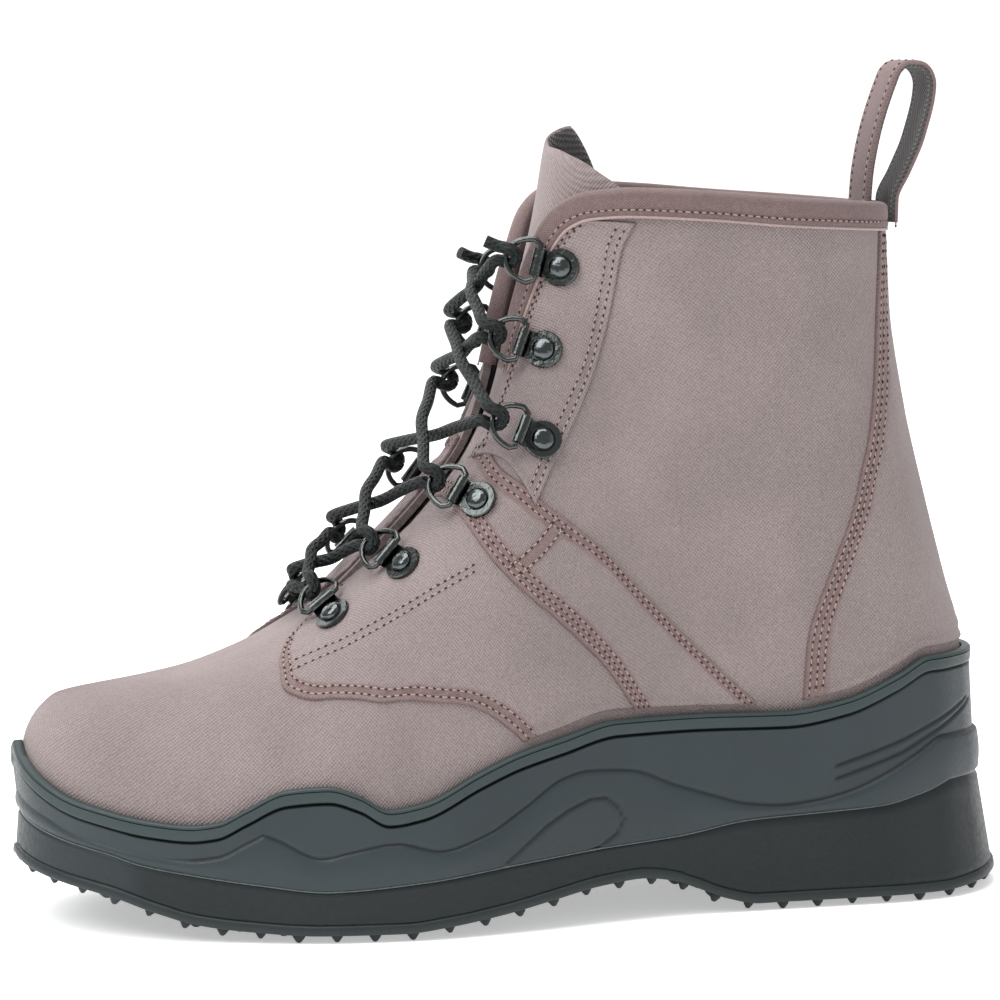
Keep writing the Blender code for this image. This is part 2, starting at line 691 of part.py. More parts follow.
# Overlays: share of the way down, then front edge and rear edge as along and height over the rim
QUARTER = (
    (0.00, 0.702, 0.970, 0.690, 0.985), (0.10, 0.734, 0.855, 0.672, 0.985), (0.22, 0.759, 0.756, 0.654, 0.985),
    (0.34, 0.768, 0.614, 0.638, 0.985), (0.45, 0.768, 0.486, 0.622, 0.985), (0.55, 0.744, 0.358, 0.600, 0.985),
    (0.63, 0.705, 0.305, 0.580, 0.800), (0.72, 0.665, 0.270, 0.556, 0.570), (0.81, 0.625, 0.205, 0.520, 0.385),
    (0.90, 0.585, 0.130, 0.430, 0.210), (1.00, 0.535, 0.010, 0.300, 0.010),
)
STRAP = (
    (0.0, 0.622, 0.985, 0.568, 0.985), (0.2, 0.598, 0.690, 0.548, 0.660), (0.4, 0.568, 0.455, 0.508, 0.450),
    (0.6, 0.534, 0.295, 0.455, 0.290), (0.8, 0.488, 0.170, 0.385, 0.175), (1.0, 0.415, 0.010, 0.285, 0.010),
)
# Shaft facing: share of the way down, place of its front edge on the opening, rear edge
FACING = (
    (0.00, 0.388, 0.347, 0.925), (0.17, 0.420, 0.360, 0.860), (0.34, 0.450, 0.374, 0.751),
    (0.50, 0.478, 0.390, 0.650), (0.66, 0.508, 0.411, 0.571), (0.83, 0.545, 0.450, 0.480),
    (1.00, 0.580, 0.508, 0.420),
)
# Backstay: share of the way down, front edge on each side
BACKSTAY = (
    (0.00, 0.090, 0.938), (0.15, 0.098, 0.850), (0.35, 0.114, 0.650), (0.55, 0.139, 0.482),
    (0.70, 0.165, 0.370), (0.82, 0.200, 0.250), (0.92, 0.232, 0.120), (1.00, 0.240, 0.012),
)
# Rivets from the toe up: along, height over the rim on each side, and how far the plate points forward for
# each unit that it points across the throat
EYELETS = (
    (0.713, 0.730, 0.680, 0.0), (0.653, 0.711, 0.665, 0.3), (0.572, 0.628, 0.620, 0.5),
    (0.488, 0.526, 0.600, 0.8), (0.464, 0.702, 0.720, 0.7), (0.420, 0.845, 0.800, 0.8),
)
BINDING_END = 0.512          # where the binding starts on the facing, along


def make_tongue(mat):
    """A curved pad under both facings, whose top stands above the collar."""
    clear = WALL + SKIN_GAP + BINDING + 3 * GAP
    edge_back = Course(TONGUE_EDGE[::-1], 1)
    edge_down = Course(TONGUE_EDGE[::-1], 2)
    sections, across, crown = 9, 11, 0.0030

    def section(place, lift):
        s = turn(place)
        flank = {}
        for side in (LATERAL, MEDIAL):
            flank[side] = []
            for k in np.linspace(1, 0, 6):
                back = turn(place - k * edge_back(place))
                v = 1 - k * edge_down(place)
                flank[side].append(raised(side, back, min(v, 0.999), lift))
        left, right = flank[LATERAL][-1], flank[MEDIAL][-1]
        normal = shell_normal(LATERAL, s, 0.97) + shell_normal(MEDIAL, s, 0.97)
        normal /= np.linalg.norm(normal)
        bridge = [left + k * (right - left) + 4 * k * (1 - k) * crown * normal for k in (0.25, 0.5, 0.75)]
        points = np.array(flank[LATERAL] + bridge + flank[MEDIAL][::-1])
        run = np.concatenate([[0], np.cumsum(np.linalg.norm(np.diff(points, axis=0), axis=1))])
        even = np.linspace(0, run[-1], across)
        return np.stack([np.interp(even, run, points[:, i]) for i in range(3)], axis=1)

    def layer(lift):
        places = np.linspace(TONGUE_EDGE[0][0], TONGUE_EDGE[-1][0], sections)
        rows = [section(place, lift) for place in places]
        last = rows[-1]
        lean = np.array([0.12, 0.0, 1.0])
        for share in (0.35, 0.7, 1.0):
            row = []
            for k, point in enumerate(last):
                off_middle = abs(2 * k / (across - 1) - 1)
                to_collar = UPPER_RISE * (1 - top_rise(turn(TONGUE_EDGE[-1][0])))
                rise = to_collar + TONGUE_RISE * (1 - off_middle ** 4)
                row.append(point + share * rise * lean)
            rows.append(np.array(row))
        return rows

    return slab("tongue", layer(-clear), layer(-clear - TONGUE_THICKNESS), mat)


def surfaces(objects):
    """One search tree over the faces of several objects."""
    points, faces = [], []
    for obj in objects:
        first = len(points)
        points += [obj.matrix_world @ v.co for v in obj.data.vertices]
        faces += [[first + i for i in face.vertices] for face in obj.data.polygons]
    return BVHTree.FromPolygons(points, faces)


def height_over(tree, point, normal, reach=0.006):
    """How far a point stands off the faces below it, along its normal; negative where it lies under them."""
    start = Vector(point + normal * reach)
    hit, _, _, distance = tree.ray_cast(start, Vector(-normal), 2 * reach)
    return distance - reach if hit else reach


def cell_shares(u, w):
    """Shares of a cell's four corners at a place in it, for either diagonal that may split the cell."""
    low, high, fold = min(u, w), max(u, w), u + w - 1
    rising = ((1 - high, max(w - u, 0)), (max(u - w, 0), low))
    falling = ((max(-fold, 0), w - max(fold, 0)), (u - max(fold, 0), max(fold, 0)))
    return np.array(rising)[..., None], np.array(falling)[..., None]


def settle(points, normals, tree, clear):
    """Lifts a grid of points until its cells, sampled at their quarters, stand clear of the faces below."""
    rows, columns = points.shape[:2]
    quarters = np.linspace(0, 1, 5)
    samples = [shares for u in quarters for w in quarters for shares in cell_shares(u, w)]
    for _ in range(3):
        lift = np.zeros((rows, columns))
        for r in range(rows - 1):
            for c in range(columns - 1):
                cell, facing = points[r:r + 2, c:c + 2], normals[r:r + 2, c:c + 2]
                lack = 0.0
                for shares in samples:
                    normal = (shares * facing).sum(axis=(0, 1))
                    normal /= np.linalg.norm(normal)
                    lack = max(lack, clear - height_over(tree, (shares * cell).sum(axis=(0, 1)), normal))
                lift[r:r + 2, c:c + 2] = np.maximum(lift[r:r + 2, c:c + 2], lack)
        points = points + lift[..., None] * normals
    return points


def sewn(name, grid, below, mat, clear=SKIN_GAP):
    """An overlay from a grid of (side, s, u), laid on what is below it."""
    tree = surfaces(below)
    points = np.array([[visible(side, s, u, clear) for side, s, u in row] for row in grid])
    normals = np.array([[visible(side, s, u, clear + 1.0) for side, s, u in row] for row in grid]) - points
    inner = settle(points, normals, tree, clear)
    return slab(name, inner + normals * OVERLAY, inner, mat)


def band(name, side, rows, columns, place, below, mat, clear=SKIN_GAP):
    """An overlay on one side: place(row share, column share) gives its (s, u) over the rim."""
    grid = [[(side, *place(r, c)) for c in np.linspace(0, 1, columns)] for r in np.linspace(0, 1, rows)]
    return sewn(name, grid, below, mat, clear)


def between(rows):
    """The place of an overlay between its front and its rear edge."""
    front_along, front_u, rear_along, rear_u = (Course(rows, column) for column in (1, 2, 3, 4))

    def place(r, c):
        front = np.array([turn(front_along(r)), front_u(r)])
        rear = np.array([turn(rear_along(r)), rear_u(r)])
        return front + c * (rear - front)

    return place


def over_rim(side, s, v):
    """The height share over the rim of a place on the wall."""
    start = rim_v(side, s, SKIN_GAP)
    return (v - start) / (1 - start)


def make_facing(name, side, below, mat):
    front_along, rear_along, rear_u = (Course(FACING, column) for column in (1, 2, 3))
    found = {}

    def place(r, c):
        if r not in found:
            s, v = set_in(side, turn(front_along(r)), BINDING_WIDTH + 4 * GAP)
            found[r] = np.array([s, over_rim(side, s, v)]), np.array([turn(rear_along(r)), rear_u(r)])
        front, rear = found[r]
        return front + c * (rear - front)

    return band(name, side, 12, 6, place, below, mat)


def make_backstay(below, mat):
    """The heel strip: one piece from the lateral edge round the back to the medial edge."""
    edge_along, edge_u = Course(BACKSTAY, 1), Course(BACKSTAY, 2)
    grid = []
    for r in np.linspace(0, 1, 11):
        s, u = turn(edge_along(r)), edge_u(r)
        shares = [k / 6 for k in range(6, 0, -1)]
        lateral = [(LATERAL, s * c, u) for c in shares]
        medial = [(MEDIAL, s * c, u) for c in reversed(shares)]
        grid.append(lateral + [(LATERAL, 0.0, u)] + medial)
    return sewn("backstay", grid, below, mat)


def make_binding(mat):
    """Tape folded over the edge: down the facings, round both corners and along the collar."""
    near = SKIN_GAP + GAP
    far = near + BINDING
    places = [s for s in PLACES if s <= turn(BINDING_END)]
    stations = [(LATERAL, s) for s in reversed(places)] + [(MEDIAL, s) for s in places[1:]]
    sections = []
    for side, s in stations:
        top, normal, inward = edge_frame(side, s)
        low_s, low_v = set_in(side, s, BINDING_WIDTH)
        low, low_normal = shell(side, low_s, low_v), shell_normal(side, low_s, low_v)

        def leg(depth, lift):
            """On the outer face where lift is positive, else inside the wall."""
            point, face = (low, low_normal) if depth else (top, normal)
            return point + face * (lift if lift > 0 else lift - WALL)

        sections.append([
            leg(1, far), leg(0, far) - 0.4 * far * inward, leg(0, 0.5 * far) - far * inward,
            leg(0, -0.5 * far) - far * inward, leg(0, -far) - 0.4 * far * inward, leg(1, -far),
            leg(1, -near), leg(0, -near) - near * inward, leg(0, near) - near * inward, leg(1, near),
        ])
    count = len(sections[0])
    vertices = [p for section in sections for p in section]
    faces = []
    for k in range(len(sections) - 1):
        for i in range(count):
            j = (i + 1) % count
            faces.append([k * count + i, k * count + j, (k + 1) * count + j, (k + 1) * count + i])
    half = count // 2
    for base in (0, (len(sections) - 1) * count):
        for i in range(half - 1):
            faces.append([base + i, base + i + 1, base + count - 2 - i, base + count - 1 - i])
    return mesh_object("collar_binding", vertices, faces, mat)


def make_pull_loop(mat):
    """A tape from inside the collar, up and over, down to the outside of the backstay."""
    back = top_edge(LATERAL, 0.0)
    stack = SKIN_GAP + BINDING + 4 * GAP + LOOP_THICKNESS / 2
    bow = 0.0018
    sag, outer_sag = 0.0105, 0.0050
    inner = back + np.array([-WALL - stack - bow, 0, 0])
    outer = back + np.array([stack, 0, 0])
    foot = outer + np.array([0.0006, 0, -outer_sag])
    top = LOOP_RISE - LOOP_THICKNESS / 2
    lean = 0.0095
    radius = 0.0065
    centre = (back[0] + lean, back[2] + top - radius)
    arc = [(centre[0] + radius * math.cos(a), centre[1] + radius * math.sin(a))
           for a in np.radians([170, 140, 105, 70, 35, 0])]
    path = [(inner[0], inner[2] - sag), (inner[0], inner[2] - 0.002), (inner[0] + 0.002, inner[2] + 0.008),
            (inner[0] + 0.006, inner[2] + 0.018)]
    path += arc
    path += [(outer[0] + 0.0080, outer[2] + 0.020), (outer[0] + 0.0045, outer[2] + 0.010),
             (outer[0] + 0.0008, outer[2] + 0.0022), (foot[0], foot[2])]
    path = np.array(path)
    run = np.gradient(path, axis=0)
    run /= np.linalg.norm(run, axis=1)[:, None]
    side = np.stack([-run[:, 1], run[:, 0]], axis=1) * LOOP_THICKNESS / 2
    outer_grid = [[(x, y, z) for y in (-LOOP_WIDTH / 2, LOOP_WIDTH / 2)] for x, z in path + side]
    inner_grid = [[(x, y, z) for y in (-LOOP_WIDTH / 2, LOOP_WIDTH / 2)] for x, z in path - side]
    return slab("pull_loop", outer_grid, inner_grid, mat, smooth=60)


# Lace hardware

def hardware_frame(side, row, tree):
    """Rivet centre on the outside of the overlays, and the directions out, across and normal."""
    share, lateral_u, medial_u, forward = EYELETS[row]
    u = lateral_u if side == LATERAL else medial_u
    s = turn(share)
    start = rim_v(side, s, SKIN_GAP)
    normal = shell_normal(side, s, start + u * (1 - start))
    out = np.array([-forward, -side, 0.15])
    out -= normal * np.dot(out, normal)
    out /= np.linalg.norm(out)
    across = np.cross(normal, out)
    origin = visible(side, s, u, SKIN_GAP)
    rim = [EYELET_RADIUS * (out * math.cos(a) + across * math.sin(a)) for a in np.radians(range(0, 360, 30))]
    strip = [out * (EYELET_REACH + 0.0015) + across * k * BARREL_WIDTH / 2 for k in (-1, 0, 1)]
    lack = max(PLATE_EASE - height_over(tree, origin + step, normal) for step in [0 * out] + rim + strip)
    return origin + normal * lack, out, across, normal


def ring_frame(side, row, tree):
    origin, out, across, normal = hardware_frame(side, row, tree)
    tilt = math.radians(RING_TILT)
    hole = RING_WIRE + 1.5 * GAP
    barrel = origin + out * EYELET_REACH + normal * (EYELET_PLATE + hole)
    return barrel, out * math.cos(tilt) + normal * math.sin(tilt), across


def place(obj, origin, out, across):
    """Puts an object made about its own origin into a frame of the boot."""
    frame = Matrix.Identity(4)
    for column, axis in enumerate((out, across, np.cross(out, across), origin)):
        for row in range(3):
            frame[row][column] = axis[row]
    obj.matrix_world = frame
    return obj


def turned(name, profile, segments, mat):
    """A solid of revolution about Z through rows of (radius, height)."""
    points = [(radius * math.cos(a), radius * math.sin(a), height) for radius, height in profile
              for a in np.linspace(0, 2 * math.pi, segments, endpoint=False)]
    faces = []
    for level in range(len(profile) - 1):
        for i in range(segments):
            j, low, high = (i + 1) % segments, level * segments, (level + 1) * segments
            faces.append([low + i, low + j, high + j, high + i])
    faces.append(list(range(segments))[::-1])
    faces.append([(len(profile) - 1) * segments + i for i in range(segments)])
    return mesh_object(name, points, faces, mat)


def make_eyelet(mat):
    """A round plate with a domed rivet, whose strip is rolled into the barrel for the ring."""
    plate = turned("eyelet", [(EYELET_RADIUS, 0.0), (EYELET_RADIUS, EYELET_PLATE)], 10, mat)
    dome = turned("dome", [
        (RIVET_RADIUS, 0.5 * EYELET_PLATE), (RIVET_RADIUS * 0.6, EYELET_PLATE + RIVET_HEIGHT)], 6, mat)
    hole = RING_WIRE + 1.5 * GAP
    roll = hole + 0.8 * EYELET_PLATE
    middle = EYELET_PLATE + hole
    angles = np.radians([-90, -30, 30, 90, 150])
    outer = [(EYELET_REACH + roll * math.cos(a), middle + roll * math.sin(a)) for a in angles]
    inner = [(EYELET_REACH + hole * math.cos(a), middle + hole * math.sin(a)) for a in reversed(angles)]
    profile = [(0.0, middle - roll)] + outer + inner + [(0.0, middle - hole)]
    half = BARREL_WIDTH / 2
    points = [(d, -half, n) for d, n in profile] + [(d, half, n) for d, n in profile]
    count = len(profile)
    faces = [[i, (i + 1) % count, count + (i + 1) % count, count + i] for i in range(count)]
    for k in range(count // 2 - 1):
        quad = [k, k + 1, count - 2 - k, count - 1 - k]
        faces.append(quad)
        faces.append([count + i for i in reversed(quad)])
    return join(plate, [mesh_object("strip", points, faces, mat), dome])


def make_ring(mat):
    """A wire D about its own straight bar."""
    half = RING_WIDTH / 2
    points = [(0.0, y, 0.0) for y in (-0.82 * half, 0.82 * half)]
    for angle in np.radians([12, 50, 90, 130, 168]):
        points.append((RING_REACH * math.sin(angle), half * math.cos(angle), 0.0))
    return tube("ring", points, RING_WIRE, mat, cyclic=True, sides=0)


def set_hardware(trees, mat):
    """Each eyelet with its ring, copies of one of each."""
    eyelet, wire = make_eyelet(mat), make_ring(mat)
    for label, side in (("lateral", LATERAL), ("medial", MEDIAL)):
        for row in range(len(EYELETS)):
            for name, model, frame in (("eyelet", eyelet, hardware_frame(side, row, trees[side])),
                                       ("ring", wire, ring_frame(side, row, trees[side]))):
                copy = bpy.data.objects.new(f"{name}_{label}_{row + 1}", model.data)
                BOOT.objects.link(copy)
                place(copy, *frame[:3])
    for model in (eyelet, wire):
        bpy.data.objects.remove(model)


def lace_end(side, row, shift, trees):
    """Against the ring's far end, moved along the throat so that two runs of lace fit side by side."""
    barrel, reach, across = ring_frame(side, row, trees[side])
    up = across if across[2] > 0 else -across
    past = RING_REACH - LACE_SEAT + RING_WIRE + LACE_RADIUS + GAP
    over = np.cross(reach, across) * LACE_LIFT
    return barrel + reach * past + up * shift * (LACE_RADIUS + GAP) + over


def lace_run(name, start, end, middle, mat):
    """A run of lace that bows out from the tongue through its middle point."""
    control = 2 * middle - (start + end) / 2
    points = [(1 - k) ** 2 * start + 2 * k * (1 - k) * control + k ** 2 * end for k in np.linspace(0, 1, 6)]
    return tube(name, points, LACE_RADIUS, mat, sides=1)


def make_laces(trees, mat):
    bow = np.array([-1.0, 0.0, 0.45])
    bow /= np.linalg.norm(bow)
    ends = [lace_end(side, 0, -1, trees) for side in (LATERAL, MEDIAL)]
    lace_run("lace_bar", *ends, sum(ends) / 2 + 0.3 * LACE_BOWS[0] * bow, mat)
    for row in range(len(EYELETS) - 1):
        runs = [(lace_end(side, row, 1, trees), lace_end(-side, row + 1, -1, trees))
                for side in (LATERAL, MEDIAL)]
        middle = sum(runs[0] + runs[1]) / 4 + LACE_BOWS[row] * bow
        crossing = [lace_run(name, *run, middle, mat)
                    for name, run in zip((f"lace_cross_{row + 1}", "second_run"), runs)]
        join(crossing[0], crossing[1:])


# Colours as linear values
CANVAS = (0.42, 0.36, 0.345)
TAPE = (0.33, 0.235, 0.24)
FOAM = (0.062, 0.08, 0.085)
RUBBER = (0.035, 0.048, 0.05)
LINING = (0.07, 0.07, 0.07)
STEEL = (0.22, 0.23, 0.23)
CORD = (0.012, 0.017, 0.018)

for old in list(bpy.data.objects):
    bpy.data.objects.remove(old)
BOOT = bpy.data.collections.new("wading_boot")
bpy.context.scene.collection.children.link(BOOT)

canvas = material("canvas", CANVAS, 0.9)
tape = material("binding_tape", TAPE, 0.85)
foam = material("midsole_foam", FOAM, 0.6)
rubber = material("outsole_rubber", RUBBER, 0.7)
lining = material("lining", LINING, 0.95)
steel = material("plated_steel", STEEL, 0.25, 1.0)
cord = material("lace_cord", CORD, 0.8)

make_outsole(rubber)
make_midsole(foam)
make_insole(lining)
shell_object = make_upper(canvas)
make_tongue(canvas)
hardware_rests = {}
for label, side in (("lateral", LATERAL), ("medial", MEDIAL)):
    layers = [shell_object]
    layers.append(band(f"quarter_{label}", side, 13, 11, between(QUARTER), layers, canvas))
    layers.append(band(f"strap_{label}", side, 16, 4, between(STRAP), layers, canvas, SKIN_GAP + GAP))
    layers.append(make_facing(f"facing_{label}", side, layers, canvas))
    hardware_rests[side] = surfaces(layers)
set_hardware(hardware_rests, steel)
make_backstay([shell_object, *[o for o in BOOT.objects if o.name.startswith(("quarter", "strap"))]], canvas)
make_binding(tape)
make_pull_loop(tape)
make_laces(hardware_rests, cord)
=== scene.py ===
# %% [markdown]
# # A wading boot, dressed piece by piece
#
# The solids of this left boot come from CAD: a rubber outsole, a foam midsole with a rim, one hollow
# canvas upper, sewn overlays, a tongue and the lace hardware. This lesson puts the looks on them. It
# repeats the rule that gave the solids their shape, a last drawn from a few tables, and so every
# seam, stitch and crease can be placed on the same surface in millimetres.

import json
import math

import bmesh
import bpy
import numpy as np
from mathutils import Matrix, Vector
from mathutils.bvhtree import BVHTree

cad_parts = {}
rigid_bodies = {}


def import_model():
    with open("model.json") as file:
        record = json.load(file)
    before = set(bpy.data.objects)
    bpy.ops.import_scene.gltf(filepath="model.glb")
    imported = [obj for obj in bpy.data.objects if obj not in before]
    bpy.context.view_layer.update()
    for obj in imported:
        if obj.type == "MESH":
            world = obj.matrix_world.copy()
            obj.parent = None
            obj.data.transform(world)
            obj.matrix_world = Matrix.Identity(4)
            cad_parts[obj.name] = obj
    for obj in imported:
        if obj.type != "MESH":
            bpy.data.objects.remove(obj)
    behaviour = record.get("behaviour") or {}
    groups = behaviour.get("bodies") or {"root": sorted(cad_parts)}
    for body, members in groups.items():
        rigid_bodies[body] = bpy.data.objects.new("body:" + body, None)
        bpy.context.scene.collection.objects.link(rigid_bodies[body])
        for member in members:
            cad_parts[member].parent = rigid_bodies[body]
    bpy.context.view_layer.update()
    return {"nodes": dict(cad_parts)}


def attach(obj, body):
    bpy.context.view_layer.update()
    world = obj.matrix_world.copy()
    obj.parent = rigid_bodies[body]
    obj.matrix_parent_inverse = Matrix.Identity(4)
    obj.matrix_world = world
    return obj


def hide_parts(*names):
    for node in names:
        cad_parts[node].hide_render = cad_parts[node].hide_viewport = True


for old in list(bpy.data.objects):
    bpy.data.objects.remove(old)
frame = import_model()
nodes = frame["nodes"]

# %% [markdown]
# ## The last
#
# A shoe is built round a last, so its surface follows two edges: the feather line, where the upper
# meets the sole, and the edge of the opening. A point of the surface has two numbers. The first, t,
# runs round the sole from the toe along the outer side (-1 to 0) to the heel, and back to the toe
# along the inner side (0 to 1). The second, v, climbs from the feather line (0) to the opening (1).
# NumPy works all points out at once.

# %% Sizes and tables of the last
SOLE_LENGTH = 0.315
HEEL_BACK = 0.045
HALF_BALL = 0.059
SOLE_HEIGHT = 0.0765
UPPER_RISE = 0.1445
WALL = 0.0024
SKIN_GAP = 0.0005
FEATHER_INSET = 0.014
FULLNESS = 0.006
STUD_HEIGHT = 0.0023
BELOW_EDGE = 0.985            # v just below the opening's edge, where both sides still have a slope
MM = 0.001
SIDES = (("lateral", -1), ("medial", 1))

OUTLINE = (
    (0.000, 0.00, 0.00), (0.016, 0.34, 0.34), (0.048, 0.56, 0.56), (0.095, 0.695, 0.695),
    (0.159, 0.745, 0.73), (0.254, 0.745, 0.68), (0.349, 0.765, 0.63), (0.444, 0.85, 0.645),
    (0.540, 0.95, 0.73), (0.635, 1.00, 0.865), (0.714, 0.965, 0.95), (0.794, 0.85, 0.95),
    (0.873, 0.695, 0.865), (0.937, 0.50, 0.70), (0.968, 0.33, 0.55), (0.990, 0.14, 0.38),
    (1.000, -0.12, 0.12),
)
INSET = (
    (0.00, 1.00, 0.50), (0.05, 0.79, 0.39), (0.16, 0.57, 0.21), (0.40, 0.50, 0.11),
    (0.64, 0.43, 0.09), (0.90, 0.39, 0.11), (1.00, 0.39, 0.14),
)
TREAD = (
    (0.000, 0.035), (0.050, 0.012), (0.100, 0.0), (0.290, 0.0), (0.324, 0.029), (0.356, 0.081),
    (0.384, 0.122), (0.416, 0.140), (0.457, 0.127), (0.511, 0.088), (0.562, 0.048), (0.616, 0.017),
    (0.660, 0.0), (0.740, 0.0), (0.810, 0.017), (0.854, 0.041), (0.883, 0.075), (0.930, 0.140),
    (0.968, 0.173), (1.000, 0.231),
)
SPLIT = (
    (0.000, 0.47), (0.070, 0.484), (0.114, 0.44), (0.165, 0.40), (0.229, 0.386), (0.302, 0.372),
    (0.375, 0.327), (0.454, 0.308), (0.537, 0.278), (0.635, 0.231), (0.733, 0.203), (0.797, 0.23),
    (0.851, 0.261), (0.902, 0.297), (0.930, 0.333), (0.965, 0.366), (1.000, 0.444),
)
WAVE = (
    (0.000, 0.65), (0.086, 0.665), (0.114, 0.612), (0.152, 0.537), (0.190, 0.473), (0.229, 0.437),
    (0.263, 0.424), (0.302, 0.439), (0.337, 0.480), (0.375, 0.532), (0.425, 0.608), (0.470, 0.620),
    (0.495, 0.599), (0.540, 0.489), (0.575, 0.403), (0.622, 0.348), (0.667, 0.384), (0.711, 0.353),
    (0.737, 0.331), (0.781, 0.408), (0.800, 0.431), (0.832, 0.390), (0.857, 0.370), (0.930, 0.400),
    (1.000, 0.520),
)
RIM = (
    (0.000, 0.993), (0.098, 1.000), (0.143, 0.928), (0.197, 0.843), (0.260, 0.804), (0.352, 0.810),
    (0.435, 0.810), (0.495, 0.758), (0.540, 0.712), (0.581, 0.647), (0.641, 0.536), (0.673, 0.516),
    (0.702, 0.575), (0.730, 0.608), (0.768, 0.595), (0.806, 0.523), (0.832, 0.470), (0.857, 0.457),
    (0.892, 0.470), (0.937, 0.510), (0.959, 0.536), (0.984, 0.600), (1.000, 0.720),
)
BED = (
    (0.000, 0.627), (0.232, 0.627), (0.359, 0.562), (0.486, 0.431), (0.613, 0.340), (0.708, 0.314),
    (0.803, 0.314), (0.857, 0.340), (0.898, 0.373), (0.937, 0.412), (0.987, 0.484), (1.000, 0.503),
)
TOP = (
    (0, 0.127, 0.96, 0, 0), (0.045, 0.135, 0.96, 0.2, 0), (0.075, 0.146, 0.962, 0.36, 0),
    (0.135, 0.194, 0.969, 0.6, 0), (0.215, 0.27, 0.979, 0.73, 0), (0.295, 0.352, 0.993, 0.7, 0),
    (0.345, 0.415, 0.998, 0.56, 0), (0.375, 0.452, 0.99, 0.42, 0), (0.4, 0.478, 0.955, 0.3, 0),
    (0.44, 0.5, 0.85, 0.215, 0), (0.48, 0.517, 0.715, 0.195, 0), (0.525, 0.527, 0.59, 0.19, 0.01),
    (0.57, 0.548, 0.46, 0.18, 0.02), (0.62, 0.587, 0.35, 0.16, 0.03), (0.675, 0.644, 0.225, 0.11, 0.05),
    (0.725, 0.702, 0.12, 0, 0.07), (0.79, 0.768, 0.037, 0, 0.1), (0.86, 0.824, -0.007, 0, 0.12),
    (0.93, 0.892, -0.031, 0, 0.12), (1.000, 0.946, -0.045, 0, 0.12),
)
ROUNDNESS = (
    (0.00, 1.05), (0.20, 1.10), (0.30, 1.20), (0.36, 1.35), (0.40, 1.55), (0.44, 1.85), (0.48, 2.00),
    (0.525, 2.10), (0.62, 2.10), (0.725, 2.20), (0.86, 2.30), (1.00, 2.30),
)
SWELL_ALONG = np.array((0.0, 0.20, 0.42, 0.60, 0.80, 1.0))
SWELL = (
    (0.00, 0.0, 0.0, 0.0, 0.0, 0.0, 0.0), (0.17, 0.75, 0.42, 0.16, 0.16, 0.16, 0.42),
    (0.30, 0.25, 0.25, 0.08, 0.16, 0.16, 0.50), (0.45, -0.20, -0.17, 0.00, 0.16, 0.16, 0.53),
    (0.62, -0.60, -0.50, -0.17, 0.08, 0.08, 0.50), (0.77, -0.80, -0.42, -0.17, 0.0, 0.0, 0.37),
    (0.90, -0.45, -0.20, -0.08, 0.0, 0.0, 0.17), (1.00, 0.0, 0.0, 0.0, 0.0, 0.0, 0.0),
)


def course(rows, column=1):
    """A smooth curve through the rows of a table, which never swings past them."""
    x = np.array([row[0] for row in rows], float)
    y = np.array([row[column] for row in rows], float)
    step = np.diff(x)
    rise = np.diff(y) / step
    slope = np.zeros(len(x))
    slope[0], slope[-1] = rise[0], rise[-1]
    for i in range(1, len(x) - 1):
        if rise[i - 1] * rise[i] > 0:
            near, far = 2 * step[i] + step[i - 1], step[i] + 2 * step[i - 1]
            slope[i] = (near + far) / (near / rise[i - 1] + far / rise[i])

    def value(place):
        place = np.clip(place, x[0], x[-1])
        i = np.clip(np.searchsorted(x, place) - 1, 0, len(x) - 2)
        width = x[i + 1] - x[i]
        k = (place - x[i]) / width
        blend = y[i] + k * k * (3 - 2 * k) * (y[i + 1] - y[i])
        return blend + width * k * (1 - k) * ((1 - k) * slope[i] - k * slope[i + 1])

    return value


def turn(share):
    """A share along the sole as a share of the half turn round its outline."""
    return np.arccos(1 - 2 * np.asarray(share, float)) / np.pi


def along(s):
    return (1 - np.cos(np.pi * s)) / 2


def table(rows, column=1):
    return course([(float(turn(row[0])), *row[1:]) for row in rows], column)


half_lateral, half_medial = table(OUTLINE, 1), table(OUTLINE, 2)
feather_inset, split_inset = table(INSET, 1), table(INSET, 2)
tread_lift, split_share, wave_share = table(TREAD), table(SPLIT), table(WAVE)
rim_share, bed_share, roundness = table(RIM), table(BED), table(ROUNDNESS)
top_along, top_rise, top_half, top_middle = (table(TOP, column) for column in (1, 2, 3, 4))
swells = [course(SWELL, column) for column in range(1, 7)]
print("ball of the foot", round(2 * HALF_BALL * 1000), "mm wide")

# %% [markdown]
# ## The wall of the boot
#
# The outline, the tread, the rim and the edge of the opening are curves over t. Between the feather
# line and the opening the wall bends over like a quarter of a superellipse: round at the toes, nearly
# upright at the heel. The normal comes from two short steps on the surface, because the rule has no
# simple slope.

# %% The surface as a function of t and v
def unit(vectors):
    return vectors / np.linalg.norm(vectors, axis=-1, keepdims=True)


def run_along(path):
    """The distance gone at each point of a path."""
    return np.concatenate([[0], np.cumsum(np.linalg.norm(np.diff(path, axis=0), axis=1))])


def wrap(t):
    return (np.asarray(t, float) + 1) % 2 - 1


def side_of(t):
    return np.where(np.asarray(t) < 0, -1.0, 1.0)


def outline(t):
    s = np.abs(t)
    half = np.where(np.asarray(t) < 0, half_lateral(s), half_medial(s))
    return np.stack([HEEL_BACK - SOLE_LENGTH * along(s), side_of(t) * HALF_BALL * half], -1)


def outward(t, e=0.004):
    """The outline's normal in plan."""
    run = outline(wrap(t + e)) - outline(wrap(t - e))
    return unit(np.stack([run[..., 1], -run[..., 0]], -1))


def sole_edge(t, inset, z):
    t, inset, z = np.broadcast_arrays(t, inset, z)
    plan = outline(t) - outward(t) * inset[..., None]
    return np.concatenate([plan, z[..., None]], -1)


def tread_z(t):
    return STUD_HEIGHT + SOLE_HEIGHT * tread_lift(np.abs(t))


def split_z(t):
    return SOLE_HEIGHT * split_share(np.abs(t))


